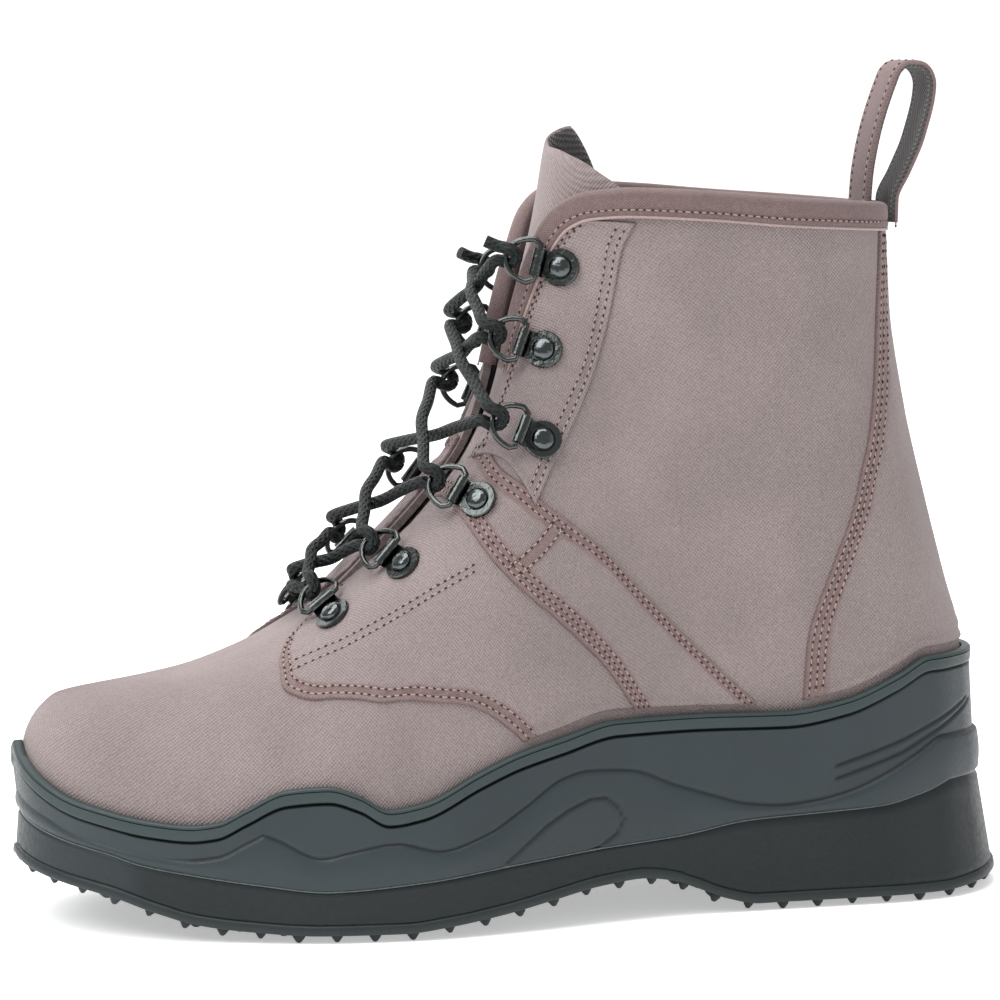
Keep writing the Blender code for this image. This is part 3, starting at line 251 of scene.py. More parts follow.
def rim_z(t):
    return SOLE_HEIGHT * rim_share(np.abs(t))


def bed_z(t):
    return SOLE_HEIGHT * bed_share(np.abs(t))


def top_edge(t):
    s = np.abs(t)
    y = HALF_BALL * (side_of(t) * top_half(s) + top_middle(s))
    return np.stack([HEEL_BACK - SOLE_LENGTH * top_along(s), y, SOLE_HEIGHT + UPPER_RISE * top_rise(s)], -1)


def swell(s, h):
    place = along(s)
    i = np.clip(np.searchsorted(SWELL_ALONG, place) - 1, 0, 4)
    k = (place - SWELL_ALONG[i]) / (SWELL_ALONG[i + 1] - SWELL_ALONG[i])
    rows = np.stack([one(h) for one in swells])
    low = np.take_along_axis(rows, i[None], 0)[0]
    high = np.take_along_axis(rows, i[None] + 1, 0)[0]
    return FULLNESS * (low + k * (high - low))


def shell(t, v):
    """A point of the plain last."""
    t, v = np.broadcast_arrays(np.asarray(t, float), np.asarray(v, float))
    s = np.abs(t)
    n = roundness(s)
    bend = np.clip(n - 1, 0, 1)
    h = np.minimum((1 - bend) * v + bend * np.sin(np.pi * v / 2), 1)
    foot = sole_edge(t, FEATHER_INSET * feather_inset(s), bed_z(t))
    top = top_edge(t)
    reach = np.maximum(1 - h ** n, 0) ** (1 / n)
    point = top + reach[..., None] * (foot - top)
    point[..., :2] += swell(s, h)[..., None] * outward(t)
    point[..., 2] = foot[..., 2] + h * (top[..., 2] - foot[..., 2])
    return point


def normal(t, v, e=0.004):
    low = np.minimum(v, BELOW_EDGE)
    across = shell(wrap(t + e), low) - shell(wrap(t - e), low)
    up = shell(t, np.minimum(v + e, 1)) - shell(t, np.maximum(v - e, 0))
    return unit(np.cross(across, up))


heel = shell(np.array(0.0), np.array(0.5))
print("the heel's wall at half height lies at", [round(x * 1000) for x in heel.tolist()], "mm")

# %% [markdown]
# ## Creases
#
# A lasted boot that has never been worn is nearly smooth, but its canvas still gives where it bends:
# over the toes, round the ankle and down the shaft. Each crease is a soft trough or ridge between two
# points of the side view. It moves the surface itself, so the overlays and the stitches that lie over
# it dip with it.

# %% Soft troughs and ridges
CREASE_DEPTH = 1.4            # all depths in the table are multiplied by this
CREASES = (          # from x, z to x, z in mm, width and depth in mm (a ridge has a negative depth)
    (-196, 48, -184, 76, 6, 0.7), (-207, 46, -197, 72, 6, -0.3), (-215, 47, -208, 66, 5, 0.4),
    (-112, 142, -78, 152, 7, 0.8), (-106, 128, -66, 138, 8, -0.4), (-98, 112, -58, 120, 8, 0.6),
    (6, 128, -26, 137, 8, 0.7), (2, 112, -22, 118, 8, -0.4),
    (-78, 196, -36, 184, 12, 0.9), (-20, 206, -12, 158, 11, 0.7), (-52, 172, -30, 146, 12, -0.5),
)


def crease(point):
    """How far the surface moves along its normal at a point."""
    move = np.zeros(point.shape[:-1])
    x, z = point[..., 0] / MM, point[..., 2] / MM
    for x1, z1, x2, z2, width, depth in CREASES:
        dx, dz = x2 - x1, z2 - z1
        length = math.hypot(dx, dz)
        k = ((x - x1) * dx + (z - z1) * dz) / length ** 2
        aside = ((x - x1) * dz - (z - z1) * dx) / length
        ends = np.exp(-((np.abs(k - 0.5) / 0.5) ** 4))
        move -= CREASE_DEPTH * depth * MM * ends * np.exp(-((aside / width) ** 2))
    return move


def surface(t, v, lift=0.0):
    """The dressed surface: the last with its creases, moved outwards by lift."""
    point = shell(t, v)
    return point + normal(t, v) * (np.asarray(lift) + crease(point))[..., None]


def rim_v(t, above=SKIN_GAP):
    """Where the surface passes the top of the midsole's rim."""
    t = np.asarray(t, float)
    low, high = np.zeros(t.shape), np.ones(t.shape)
    for _ in range(20):
        middle = (low + high) / 2
        under = shell(t, middle)[..., 2] < rim_z(t) + above
        low, high = np.where(under, middle, low), np.where(under, high, middle)
    return high


def set_in(t, distance):
    """The place (t, v) on the wall that lies a distance in from the opening's edge, square to it."""
    t = np.asarray(t, float)
    e = 0.006
    run = top_edge(t + e) - top_edge(t - e)
    face = normal(t, np.full(t.shape, BELOW_EDGE))
    inward = np.cross(run, face)
    inward -= face * (inward * face).sum(-1, keepdims=True)
    inward = unit(inward)
    target = top_edge(t) + inward * distance
    place_t, place_v = t.copy(), np.full(t.shape, 0.96)
    for _ in range(10):
        here = shell(place_t, place_v)
        dt = (shell(place_t + 0.003, place_v) - shell(place_t - 0.003, place_v)) / 0.006
        dv = (here - shell(place_t, place_v - 0.003)) / 0.003
        rest = target - here
        a, b, c = (dt * dt).sum(-1), (dt * dv).sum(-1), (dv * dv).sum(-1)
        p, q = (dt * rest).sum(-1), (dv * rest).sum(-1)
        det = a * c - b * b
        place_t = np.clip(place_t + np.clip((c * p - b * q) / det, -0.08, 0.08), -1, 1)
        place_v = np.clip(place_v + np.clip((a * q - b * p) / det, -0.08, 0.08), 0.05, 1)
    return place_t, place_v, inward, face


GIRTH_COLUMNS, GIRTH_ROWS, GIRTH_ROW = 400, 80, 30


def girth():
    """Lengths on the surface, from which the cloth's own coordinates come."""
    t = np.linspace(-1, 1, GIRTH_COLUMNS + 1)
    grid = shell(t[None, :], np.linspace(0, 1, GIRTH_ROWS + 1)[:, None])
    up = np.linalg.norm(np.diff(grid, axis=0), axis=-1)
    return t, run_along(grid[GIRTH_ROW]), np.concatenate([np.zeros((1, len(t))), np.cumsum(up, axis=0)])


GIRTH_T, GIRTH_ACROSS, GIRTH_UP = girth()


def cloth_uv(t, v):
    """Metres along and up the surface."""
    t, v = np.broadcast_arrays(np.asarray(t, float), np.asarray(v, float))
    i = np.clip((t + 1) / 2 * GIRTH_COLUMNS, 0, GIRTH_COLUMNS - 0.001)
    j = np.clip(v * GIRTH_ROWS, 0, GIRTH_ROWS - 0.001)
    i0, j0 = i.astype(int), j.astype(int)
    fi, fj = i - i0, j - j0
    low = GIRTH_UP[j0, i0] * (1 - fi) + GIRTH_UP[j0, i0 + 1] * fi
    high = GIRTH_UP[j0 + 1, i0] * (1 - fi) + GIRTH_UP[j0 + 1, i0 + 1] * fi
    return np.stack([np.interp(t, GIRTH_T, GIRTH_ACROSS), low * (1 - fj) + high * fj], -1)


print("canvas round the foot", round(GIRTH_ACROSS[-1] * 1000), "mm")

# %% [markdown]
# ## Small tools
#
# A boot needs few kinds of mesh: sheets with two faces and a rim, and cords swept along a path. Both
# come from grids of points. The seam of a closed grid is merged at the end, so that each side keeps
# its own UV there.

# %% Meshes from grids
def put(name, data):
    """A new object in the scene."""
    made = bpy.data.objects.new(name, data)
    bpy.context.scene.collection.objects.link(made)
    return made


def applied(holder, modifier):
    """The plain mesh that a modifier makes. The holder goes."""
    bpy.context.view_layer.update()
    made = bpy.data.meshes.new_from_object(holder.evaluated_get(bpy.context.evaluated_depsgraph_get()))
    holder.modifiers.remove(modifier)
    bpy.data.objects.remove(holder)
    return made


def mesh_piece(name, points, faces, materials, uv, indices=None, fields=None, sharp=50):
    """A smooth closed mesh. fields holds values that its materials read by name."""
    mesh = bpy.data.meshes.new(name)
    mesh.from_pydata(np.asarray(points).reshape(-1, 3).tolist(), [], faces)
    for material in materials:
        mesh.materials.append(material)
    if indices is not None:
        mesh.polygons.foreach_set("material_index", np.asarray(indices, np.int32))
    loops = np.zeros(len(mesh.loops), np.int32)
    mesh.loops.foreach_get("vertex_index", loops)
    layer = mesh.uv_layers.new(name="UVMap")
    layer.data.foreach_set("uv", np.asarray(uv, np.float32).reshape(-1, 2)[loops].ravel())
    for key, values in (fields or {}).items():
        mesh.attributes.new(key, "FLOAT", "POINT")
        mesh.attributes[key].data.foreach_set("value", np.asarray(values, np.float32).ravel())
    bm = bmesh.new()
    bm.from_mesh(mesh)
    bmesh.ops.remove_doubles(bm, verts=bm.verts, dist=2e-6)
    bmesh.ops.dissolve_degenerate(bm, edges=bm.edges, dist=1e-7)
    bmesh.ops.recalc_face_normals(bm, faces=bm.faces)
    bm.to_mesh(mesh)
    bm.free()
    mesh.shade_smooth()
    mesh.set_sharp_from_angle(angle=math.radians(sharp))
    return put(name, mesh)


def quads(rows, columns, base=0, flip=False):
    """Faces of a grid whose points start at base."""
    r, c = np.meshgrid(np.arange(rows - 1), np.arange(columns - 1), indexing="ij")
    a = base + r * columns + c
    four = np.stack([a, a + 1, a + columns + 1, a + columns], -1).reshape(-1, 4)
    return (four[:, ::-1] if flip else four).tolist()


def edge_strip(first, second):
    """Faces between two equal runs of points."""
    return [[a, b, d, c] for a, b, c, d in zip(first, first[1:], second, second[1:])]


def lids(rows, columns):
    """Faces that close the first and the last row of a grid that runs round the sole."""
    faces = []
    for row in (0, rows - 1):
        line = [row * columns + i for i in range(columns - 1)]
        faces += [[line[i], line[i + 1], line[-i - 2], line[-i - 1]] for i in range(len(line) // 2 - 1)]
    return faces


def two_faced(name, outer, inner, materials, uv, **more):
    """A closed sheet from its outer and its inner grid, which share their rim."""
    rows, columns = outer.shape[:2]
    deep = rows * columns
    index = np.arange(2 * deep).reshape(2, rows, columns)
    faces = quads(rows, columns) + quads(rows, columns, deep, flip=True)
    count = len(faces) // 2
    for row in (0, rows - 1):
        faces += edge_strip(index[0, row].tolist(), index[1, row].tolist())
    for column in (0, columns - 1):
        faces += edge_strip(index[0, :, column].tolist(), index[1, :, column].tolist())
    kinds = [0] * count + [len(materials) - 1] * count + [0] * (len(faces) - 2 * count)
    points = np.concatenate([outer.reshape(-1, 3), inner.reshape(-1, 3)])
    return mesh_piece(name, points, faces, materials, np.stack([uv, uv]), kinds, **more)


def sweep(path, radius, sides=12, cyclic=False):
    """Points, faces and UV (turn, metres) of a round cord along a path."""
    path = np.asarray(path, float)
    ahead = np.roll(path, -1, 0) - np.roll(path, 1, 0)
    if not cyclic:
        ahead[0], ahead[-1] = path[1] - path[0], path[-1] - path[-2]
    ahead = unit(ahead)
    run = run_along(path)
    guide = np.array((0.0, 0.0, 1.0))
    frames = []
    for direction in ahead:
        guide = guide - direction * np.dot(guide, direction)
        guide /= np.linalg.norm(guide)
        frames.append((guide.copy(), np.cross(direction, guide)))
    angles = np.linspace(0, 2 * np.pi, sides + 1)
    points = np.array([[p + radius * (math.cos(a) * g + math.sin(a) * h) for a in angles]
                       for p, (g, h) in zip(path, frames)])
    if cyclic:
        points = np.concatenate([points, points[:1]])
        run = np.append(run, run[-1] + np.linalg.norm(path[0] - path[-1]))
    uv = np.stack(np.broadcast_arrays(angles[None, :] / (2 * np.pi), run[:, None]), -1)
    faces = quads(len(points), sides + 1)
    if not cyclic:
        last = (len(points) - 1) * (sides + 1)
        faces.append(list(range(sides))[::-1])
        faces.append([last + i for i in range(sides)])
    return points.reshape(-1, 3), faces, uv.reshape(-1, 2)


def join_parts(name, parts, materials, **more):
    """One piece from several (points, faces, uv)."""
    points, faces, uvs, base = [], [], [], 0
    for p, f, uv in parts:
        points.append(p)
        faces += [[base + i for i in face] for face in f]
        uvs.append(uv)
        base += len(p)
    return mesh_piece(name, np.concatenate(points), faces, materials, np.concatenate(uvs), **more)


def finish_piece(piece, slot, *replaced):
    """Rides on the boot and stands for the CAD nodes that it covers. The slot is not used."""
    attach(piece, "root")
    if replaced:
        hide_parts(*replaced)
    piece.data.calc_loop_triangles()
    print(f"{piece.name}: {len(piece.data.loop_triangles)} triangles")
    return piece


print("mesh tools: sheets with two faces, swept cords, joined parts")

# %% [markdown]
# ## Materials
#
# The boot is woven nylon canvas with a closer tape for its edges and a soft lining, sewn with
# polyester thread. Below are moulded EVA foam and carbon-filled rubber, and the fittings are
# nickel-plated steel. Colours are written as sRGB hex values, which one function turns to linear
# light. One more small function adds a node with its settings and its links, so each material reads
# as a list of what it does.

# %% Colour and node helpers
WHITE = (1.0, 1.0, 1.0, 1.0)


def hex_colour(code):
    """sRGB hex to linear."""
    parts = [int(code[i:i + 2], 16) / 255 for i in (1, 3, 5)]
    return (*[c / 12.92 if c <= 0.04045 else ((c + 0.055) / 1.055) ** 2.4 for c in parts], 1.0)


def grey(value):
    return value, value, value, 1.0


def add(tree, kind, inputs=None, **settings):
    """Adds a node: settings are its own properties, inputs are values or the sockets that feed it."""
    node = tree.nodes.new(kind)
    for key, value in settings.items():
        setattr(node, key, value)
    for key, value in (inputs or {}).items():
        if isinstance(value, bpy.types.NodeSocket):
            tree.links.new(value, node.inputs[key])
        else:
            node.inputs[key].default_value = value
    return node


def calc(tree, operation, a, b=0.5):
    return add(tree, "ShaderNodeMath", {0: a, 1: b}, operation=operation).outputs[0]


def mix(tree, share, a, b, blend="MIX"):
    return add(tree, "ShaderNodeMix", {0: share, 6: a, 7: b}, data_type="RGBA", blend_type=blend).outputs[2]


def ramp(tree, value, low, high):
    """0 below low, 1 above high."""
    return add(tree, "ShaderNodeMapRange", {"Value": value, "From Min": low, "From Max": high}).outputs[0]


def new_material(name, roughness, metallic=0.0, **shader_inputs):
    """A material, its tree and its shader, whose plain values sit on the shader's own sockets."""
    made = bpy.data.materials.new(name)
    made.use_nodes = True
    tree = made.node_tree
    shader = tree.nodes["Principled BSDF"]
    shader.inputs["Roughness"].default_value = roughness
    shader.inputs["Metallic"].default_value = metallic
    for key, value in shader_inputs.items():
        shader.inputs[key.replace("_", " ")].default_value = value
    return made, tree, shader


def bump(tree, shader, height, distance, strength=1.0):
    node = add(tree, "ShaderNodeBump", {"Height": height, "Distance": distance, "Strength": strength})
    tree.links.new(node.outputs[0], shader.inputs["Normal"])


def noise(tree, where, size, detail=2.0):
    """Noise whose blotches are about size metres across."""
    values = {"Vector": where, "Scale": 1 / size, "Detail": detail}
    return add(tree, "ShaderNodeTexNoise", values).outputs[0]


def wave_of(tree, value, pitch):
    """A sine of that pitch in metres."""
    return calc(tree, "SINE", calc(tree, "MULTIPLY", value, 2 * math.pi / pitch))


print("canvas mauve in linear light:", [round(c, 3) for c in hex_colour("#9A8D8C")])

# %% [markdown]
# ## Woven cloth
#
# Real canvas is warp and weft passing over and under each other. Two sines along the cloth's own
# coordinates multiply to that pattern, and a little noise bends the threads so that the cloth never
# looks printed. The band attribute marks where the seams run, as the cloth took a warmer dye there,
# and a second attribute paints a thin dark line of painted shadow along the cut edges.

# %% Woven cloth: canvas, tape and lining
# The second colour is painted shadow: a thin dark line along the overlays' cut edges
BAND, EDGE_SHADOW = "#765E5B", "#3A2C2C"


def woven(name, light, dark, thread, roughness, depth, blotch, sheen=0.15):
    """Cloth of crossing threads. thread is the spacing, drawn coarser than real so that it shows at all."""
    made, tree, shader = new_material(name, roughness, Sheen_Weight=sheen, Sheen_Roughness=0.5)
    shader.inputs["Specular IOR Level"].default_value = 0.25
    uv = add(tree, "ShaderNodeUVMap", uv_map="UVMap").outputs[0]
    place = add(tree, "ShaderNodeTexCoord").outputs["Object"]
    slow = {"Vector": place, "Scale": 260.0, "Detail": 1.0}
    wobble = add(tree, "ShaderNodeTexNoise", slow).outputs["Color"]
    kind = "ShaderNodeVectorMath"
    shift = add(tree, kind, {0: wobble, 1: (0.5, 0.5, 0.5)}, operation="SUBTRACT").outputs[0]
    shift = add(tree, kind, {0: shift, "Scale": 0.35 * thread}, operation="SCALE").outputs[0]
    bent = add(tree, kind, {0: uv, 1: shift}, operation="ADD").outputs[0]
    split = add(tree, "ShaderNodeSeparateXYZ", {0: bent})
    warp, weft = (wave_of(tree, split.outputs[axis], 2 * thread) for axis in (0, 1))
    weave = calc(tree, "MULTIPLY", warp, weft)
    grain = noise(tree, place, 0.0009, 3.0)
    soft = noise(tree, place, 0.03, 3.0)
    level = calc(tree, "ADD", calc(tree, "MULTIPLY", weave, 0.32), calc(tree, "MULTIPLY", grain, 0.9))
    # Partly painted shade: threads are darker where they lie low in the weave; the grain adds random tone
    colour = mix(tree, ramp(tree, level, 0.05, 0.85), hex_colour(dark), hex_colour(light))
    shade = mix(tree, ramp(tree, soft, 0.35, 0.65), grey(1 - blotch), WHITE)
    colour = mix(tree, 1.0, colour, shade, "MULTIPLY")
    band = add(tree, "ShaderNodeAttribute", attribute_name="band").outputs["Fac"]
    patchy = calc(tree, "MULTIPLY", band, ramp(tree, noise(tree, place, 0.0022, 2.0), -0.1, 0.75))
    colour = mix(tree, patchy, colour, hex_colour(BAND))
    # Painted shadow: the overlays' cut edges darken towards this colour
    painted_shade = add(tree, "ShaderNodeAttribute", attribute_name="painted_shade").outputs["Fac"]
    colour = mix(tree, calc(tree, "MULTIPLY", painted_shade, 0.55), colour, hex_colour(EDGE_SHADOW))
    tree.links.new(colour, shader.inputs["Base Color"])
    bump(tree, shader, calc(tree, "ADD", weave, calc(tree, "MULTIPLY", grain, 1.2)), depth)
    return made


# Woven nylon canvas: matt, a little dusty, its threads catch light one by one
canvas = woven("woven_nylon_canvas", "#9A8D8C", "#7C706F", 0.00062, 0.88, 0.00012, blotch=0.12)
# Polyester grosgrain tape: closer threads, a warmer dye that took darker
tape = woven("grosgrain_tape", "#83706F", "#665452", 0.0005, 0.8, 0.00012, blotch=0.08)
# Brushed tricot lining: dark, soft, no shine
lining = woven("tricot_lining", "#5A5756", "#3E3B3B", 0.0008, 0.95, 0.0002, blotch=0.15, sheen=0.3)
print("cloth:", canvas.name, tape.name, lining.name)

# %% [markdown]
# ## Thread and needle holes
#
# Each stitch is a small raised form of its own later on, so its material only needs a plain colour
# with a little unevenness. The needle leaves a hole between two stitches, drawn as a dark dot of
# painted shadow, and from a distance these dots are most of what the eye takes for a seam.

# %% Sewing thread and needle holes
def plain(name, code, roughness, grain_size, blotch, metallic=0.0, **more):
    """A dyed or moulded surface with a little unevenness."""
    made, tree, shader = new_material(name, roughness, metallic, **more)
    place = add(tree, "ShaderNodeTexCoord").outputs["Object"]
    grain = noise(tree, place, grain_size, 3.0)
    shade = mix(tree, ramp(tree, grain, 0.3, 0.7), grey(1 - blotch), WHITE)
    tree.links.new(mix(tree, 1.0, hex_colour(code), shade, "MULTIPLY"), shader.inputs["Base Color"])
    bump(tree, shader, grain, grain_size * 0.12)
    return made


# Bonded polyester thread: a slight lustre on each stitch
thread = plain("bonded_polyester_thread", "#A58F8B", 0.5, 0.0006, 0.25)
# The needle's hole as a dark dot of painted shadow, drawn a little larger than real so that it shows
hole = plain("needle_hole_painted_shadow", "#33211F", 0.9, 0.0006, 0.2)
print("thread:", thread.name, hole.name)

# %% [markdown]
# ## Foam, rubber and steel
#
# Foam and rubber are moulded in steel that was spark-eroded, so both have a fine grain instead of a
# gloss. Their grooves are painted darker, as painted shade that an attribute of the mesh carries. At
# the toe the rubber is paler, and so is the thin strip of tread below, which the strip attribute marks.

# %% Foam and rubber
TOE_PALE_SPAN = (-0.243, -0.237)  # x between which the toe's paler rubber fades into the rest


def moulded(name, code, groove_shade_code, roughness, grain_size, depth, toe=None, low=None):
    """A moulded surface: fine spark-eroded grain, with painted shade in its grooves."""
    made, tree, shader = new_material(name, roughness)
    shader.inputs["Specular IOR Level"].default_value = 0.28
    place = add(tree, "ShaderNodeTexCoord").outputs["Object"]
    grain = noise(tree, place, grain_size, 3.0)
    cloud = noise(tree, place, 0.04, 2.0)
    paler = mix(tree, 1.0, hex_colour(code), grey(1.12), "MULTIPLY")
    base = mix(tree, ramp(tree, cloud, 0.35, 0.65), hex_colour(code), paler)
    if toe:
        x = add(tree, "ShaderNodeSeparateXYZ", {0: place}).outputs[0]
        base = mix(tree, ramp(tree, x, *TOE_PALE_SPAN), hex_colour(toe), base)
    if low:
        strip = add(tree, "ShaderNodeAttribute", attribute_name="strip").outputs["Fac"]
        base = mix(tree, strip, base, hex_colour(low))
    # Painted shade in the grooves and joints, wherever the mesh sets it
    painted_shade = add(tree, "ShaderNodeAttribute", attribute_name="painted_shade").outputs["Fac"]
    base = mix(tree, painted_shade, base, hex_colour(groove_shade_code))
    tree.links.new(base, shader.inputs["Base Color"])
    tree.links.new(ramp(tree, grain, -0.6, 1.8), shader.inputs["Roughness"])
    bump(tree, shader, grain, depth)
    return made


# Compression-moulded EVA foam: satin skin, grey-green
foam = moulded("moulded_eva_foam", "#2D3538", "#0C0F10", 0.55, 0.0011, 0.00006)
# Carbon-filled rubber: darker and a touch oilier than the foam
rubber = moulded("carbon_filled_rubber", "#191F21", "#0A0D0E", 0.5, 0.0016, 0.00010,
                 toe="#272E31", low="#262D2E")
# Cured sole cement at the joint, glossy; its pale colour is a painted highlight along the joint
joint_cement_highlight = plain("cement_painted_highlight", "#4C5655", 0.3, 0.0012, 0.5)
# Nickel-plated steel with a dark tint: mirror-like, so it shows the room as black and white bands
steel = plain("dark_nickel_plate", "#4E5251", 0.2, 0.0015, 0.06, metallic=1.0)
print("moulded:", foam.name, rubber.name)

# %% [markdown]
# ## Braid
#
# A round lace is braided over a core: half of its yarns wind to the left and half to the right. Two
# sines that run round and along the cord on opposite slants give both sets, and the higher of the two
# lies on top.

# %% Braided lace
def braid(name, light, dark, turns, pitch):
    """A round braid: two sets of yarns that cross on the slant."""
    made, tree, shader = new_material(name, 0.6)
    shader.inputs["Specular IOR Level"].default_value = 0.35
    uv = add(tree, "ShaderNodeUVMap", uv_map="UVMap").outputs[0]
    split = add(tree, "ShaderNodeSeparateXYZ", {0: uv})
    around = calc(tree, "MULTIPLY", split.outputs[0], 2 * math.pi * turns)
    ahead = calc(tree, "MULTIPLY", split.outputs[1], 2 * math.pi / pitch)
    left = calc(tree, "SINE", calc(tree, "ADD", ahead, around))
    right = calc(tree, "SINE", calc(tree, "SUBTRACT", ahead, around))
    height = calc(tree, "MAXIMUM", left, right)
    # Painted shade: the cord is darker where its yarns sink between each other
    colour = mix(tree, ramp(tree, height, -0.2, 1.0), hex_colour(dark), hex_colour(light))
    tree.links.new(colour, shader.inputs["Base Color"])
    bump(tree, shader, height, 0.00025)
    return made


# Braided polyester cord, black-green: its slanting yarns break the highlight into small beads
lace_braid = braid("braided_polyester_cord", "#10181A", "#020404", 6, 0.0032)
print("cord:", lace_braid.name)

# %% [markdown]
# ## The canvas upper
#
# On the real boot the upper is cut flat, stitched, and pulled over the last by its lower edge. Here
# it is one closed sheet: the outer face follows the last, and the lining lies a wall's thickness
# inside. Over the vamp both sides meet in a ridge, so the points there are the mean of the two sides
# and merge into one surface.

# %% Upper canvas
OUTER_ROWS, INNER_ROWS, SHELL_COLUMNS = 100, 34, 481
BINDING_WIDTH = 0.0065
RIDGE_FROM = float(turn(0.725))


def shell_face(rows, lift):
    """A grid of the shell from the feather line to the opening, whole along the ridge."""
    t = np.linspace(-1, 1, SHELL_COLUMNS)[None, :]
    v = np.linspace(0, 1, rows)[:, None]
    grid = surface(t, v, lift)
    grid[0, :, 2] = bed_z(t[0]) + (0 if lift == 0 else 0.0002)
    ridge = np.abs(t[0]) >= RIDGE_FROM - 1e-9
    mirror = grid[-1, ::-1]
    grid[-1, ridge] = (grid[-1, ridge] + mirror[ridge]) / 2
    return grid, cloth_uv(t, v), ridge


def make_upper():
    outer, outer_uv, ridge = shell_face(OUTER_ROWS, 0.0)
    inner, inner_uv, _ = shell_face(INNER_ROWS, -WALL)
    columns = SHELL_COLUMNS
    deep = OUTER_ROWS * columns
    faces = quads(OUTER_ROWS, columns) + quads(INNER_ROWS, columns, deep, flip=True)
    kinds = [0] * ((OUTER_ROWS - 1) * (columns - 1)) + [1] * ((INNER_ROWS - 1) * (columns - 1))
    foot = edge_strip(list(range(columns)), list(range(deep, deep + columns)))
    top, inner_top = (OUTER_ROWS - 1) * columns, deep + (INNER_ROWS - 1) * columns
    rim = [[top + i, top + i + 1, inner_top + i + 1, inner_top + i] for i in range(columns - 1)
           if not (ridge[i] and ridge[i + 1])]
    points = np.concatenate([outer.reshape(-1, 3), inner.reshape(-1, 3)])
    uv = np.concatenate([outer_uv.reshape(-1, 2), inner_uv.reshape(-1, 2)])
    return mesh_piece("upper_canvas", points, faces + foot + rim, [canvas, lining], uv,
                      kinds + [0] * (len(foot) + len(rim)))


upper_piece = finish_piece(make_upper(), "canvas", "upper")

# %% [markdown]
# ## Overlays
#
# The quarter, the strap over the instep, the facing that carries the rings and the backstay are cut
# from the same cloth and sewn on in that order. Each is laid like real cloth: its height over what
# lies below is felt with a search tree, smoothed a little, and the sheet is rounded down at its cut
# edges.

# %% How an overlay lies
QUARTER = (
    (0, 0.702, 0.97, 0.69, 0.985), (0.1, 0.734, 0.855, 0.672, 0.985), (0.22, 0.759, 0.756, 0.654, 0.985),
    (0.34, 0.768, 0.614, 0.638, 0.985), (0.45, 0.768, 0.486, 0.622, 0.985),
    (0.55, 0.744, 0.358, 0.6, 0.985),
    (0.63, 0.705, 0.305, 0.58, 0.8), (0.72, 0.665, 0.27, 0.556, 0.57), (0.81, 0.625, 0.205, 0.52, 0.385),
    (0.9, 0.585, 0.13, 0.43, 0.21), (1.00, 0.535, 0.01, 0.3, 0.01),
)
STRAP = (
    (0, 0.622, 0.985, 0.568, 0.985), (0.2, 0.598, 0.69, 0.548, 0.66), (0.4, 0.568, 0.455, 0.508, 0.45),
    (0.6, 0.534, 0.295, 0.455, 0.29), (0.8, 0.488, 0.17, 0.385, 0.175), (1.0, 0.415, 0.01, 0.285, 0.01),
)
FACING = (
    (0.00, 0.388, 0.347, 0.925), (0.17, 0.420, 0.360, 0.860), (0.34, 0.450, 0.374, 0.751),
    (0.50, 0.478, 0.390, 0.650), (0.66, 0.508, 0.411, 0.571), (0.83, 0.545, 0.450, 0.480),
    (1.00, 0.580, 0.508, 0.420),
)
BACKSTAY = (
    (0.00, 0.090, 0.958), (0.15, 0.098, 0.850), (0.35, 0.114, 0.650), (0.55, 0.139, 0.482),
    (0.70, 0.165, 0.370), (0.82, 0.200, 0.250), (0.92, 0.232, 0.120), (1.00, 0.240, 0.012),
)
CLOTH = 0.0010                # thickness of an overlay as it shows
TUCK = 0.0005                 # its underside lies this far inside what is below
EDGE_FADE = 0.0005            # over which a darker band ends
QUARTER_BAND, STRAP_FRONT_BAND, STRAP_REAR_BAND, BACKSTAY_BAND = 0.0058, 0.0068, 0.0062, 0.0072
STRAP_CROSS = 0.046           # the seam across the strap lies this far below its upper end
EDGE_STEPS = (0, 0.25, 0.6, 1.0, 1.5, 2.1, 2.8, 3.6, 4.5, 5.5, 6.8)


def tree_of(objects):
    points, faces = [], []
    for obj in objects:
        base = len(points)
        points += [v.co.copy() for v in obj.data.vertices]
        faces += [[base + i for i in face.vertices] for face in obj.data.polygons]
    return BVHTree.FromPolygons(points, faces)


def feel(tree, points, normals, reach=0.012):
    """How far what lies below stands over each point, along its normal."""
    heights = np.zeros(points.shape[:2])
    for index in np.ndindex(*heights.shape):
        start = Vector(points[index] + normals[index] * reach)
        hit = tree.ray_cast(start, Vector(-normals[index]), 2 * reach)
        heights[index] = reach - hit[3] if hit[0] else 0.0
    return heights


def soften(grid, times=6):
    for _ in range(times):
        padded = np.pad(grid, 1, mode="edge")
        grid = (padded[:-2, 1:-1] + padded[2:, 1:-1] + padded[1:-1, :-2] + padded[1:-1, 2:] + 2 * grid) / 6
    return grid


def shares(count, width):
    """Places across a sheet, close together near both edges. width is in millimetres."""
    edge = np.array(EDGE_STEPS) / width
    middle = np.linspace(edge[-1], 1 - edge[-1], count)[1:-1]
    return np.concatenate([edge, middle, 1 - edge[::-1]])


def edge_distances(points):
    """Distance of each point from the first and last column, and from the first and last row."""
    across_steps, down_steps = (np.linalg.norm(np.diff(points, axis=axis), axis=2) for axis in (1, 0))
    along_row = np.cumsum(np.pad(across_steps, ((0, 0), (1, 0))), axis=1)
    along_column = np.cumsum(np.pad(down_steps, ((1, 0), (0, 0))), axis=0)
    return along_row, along_row[:, -1:] - along_row, along_column, along_column[-1:] - along_column


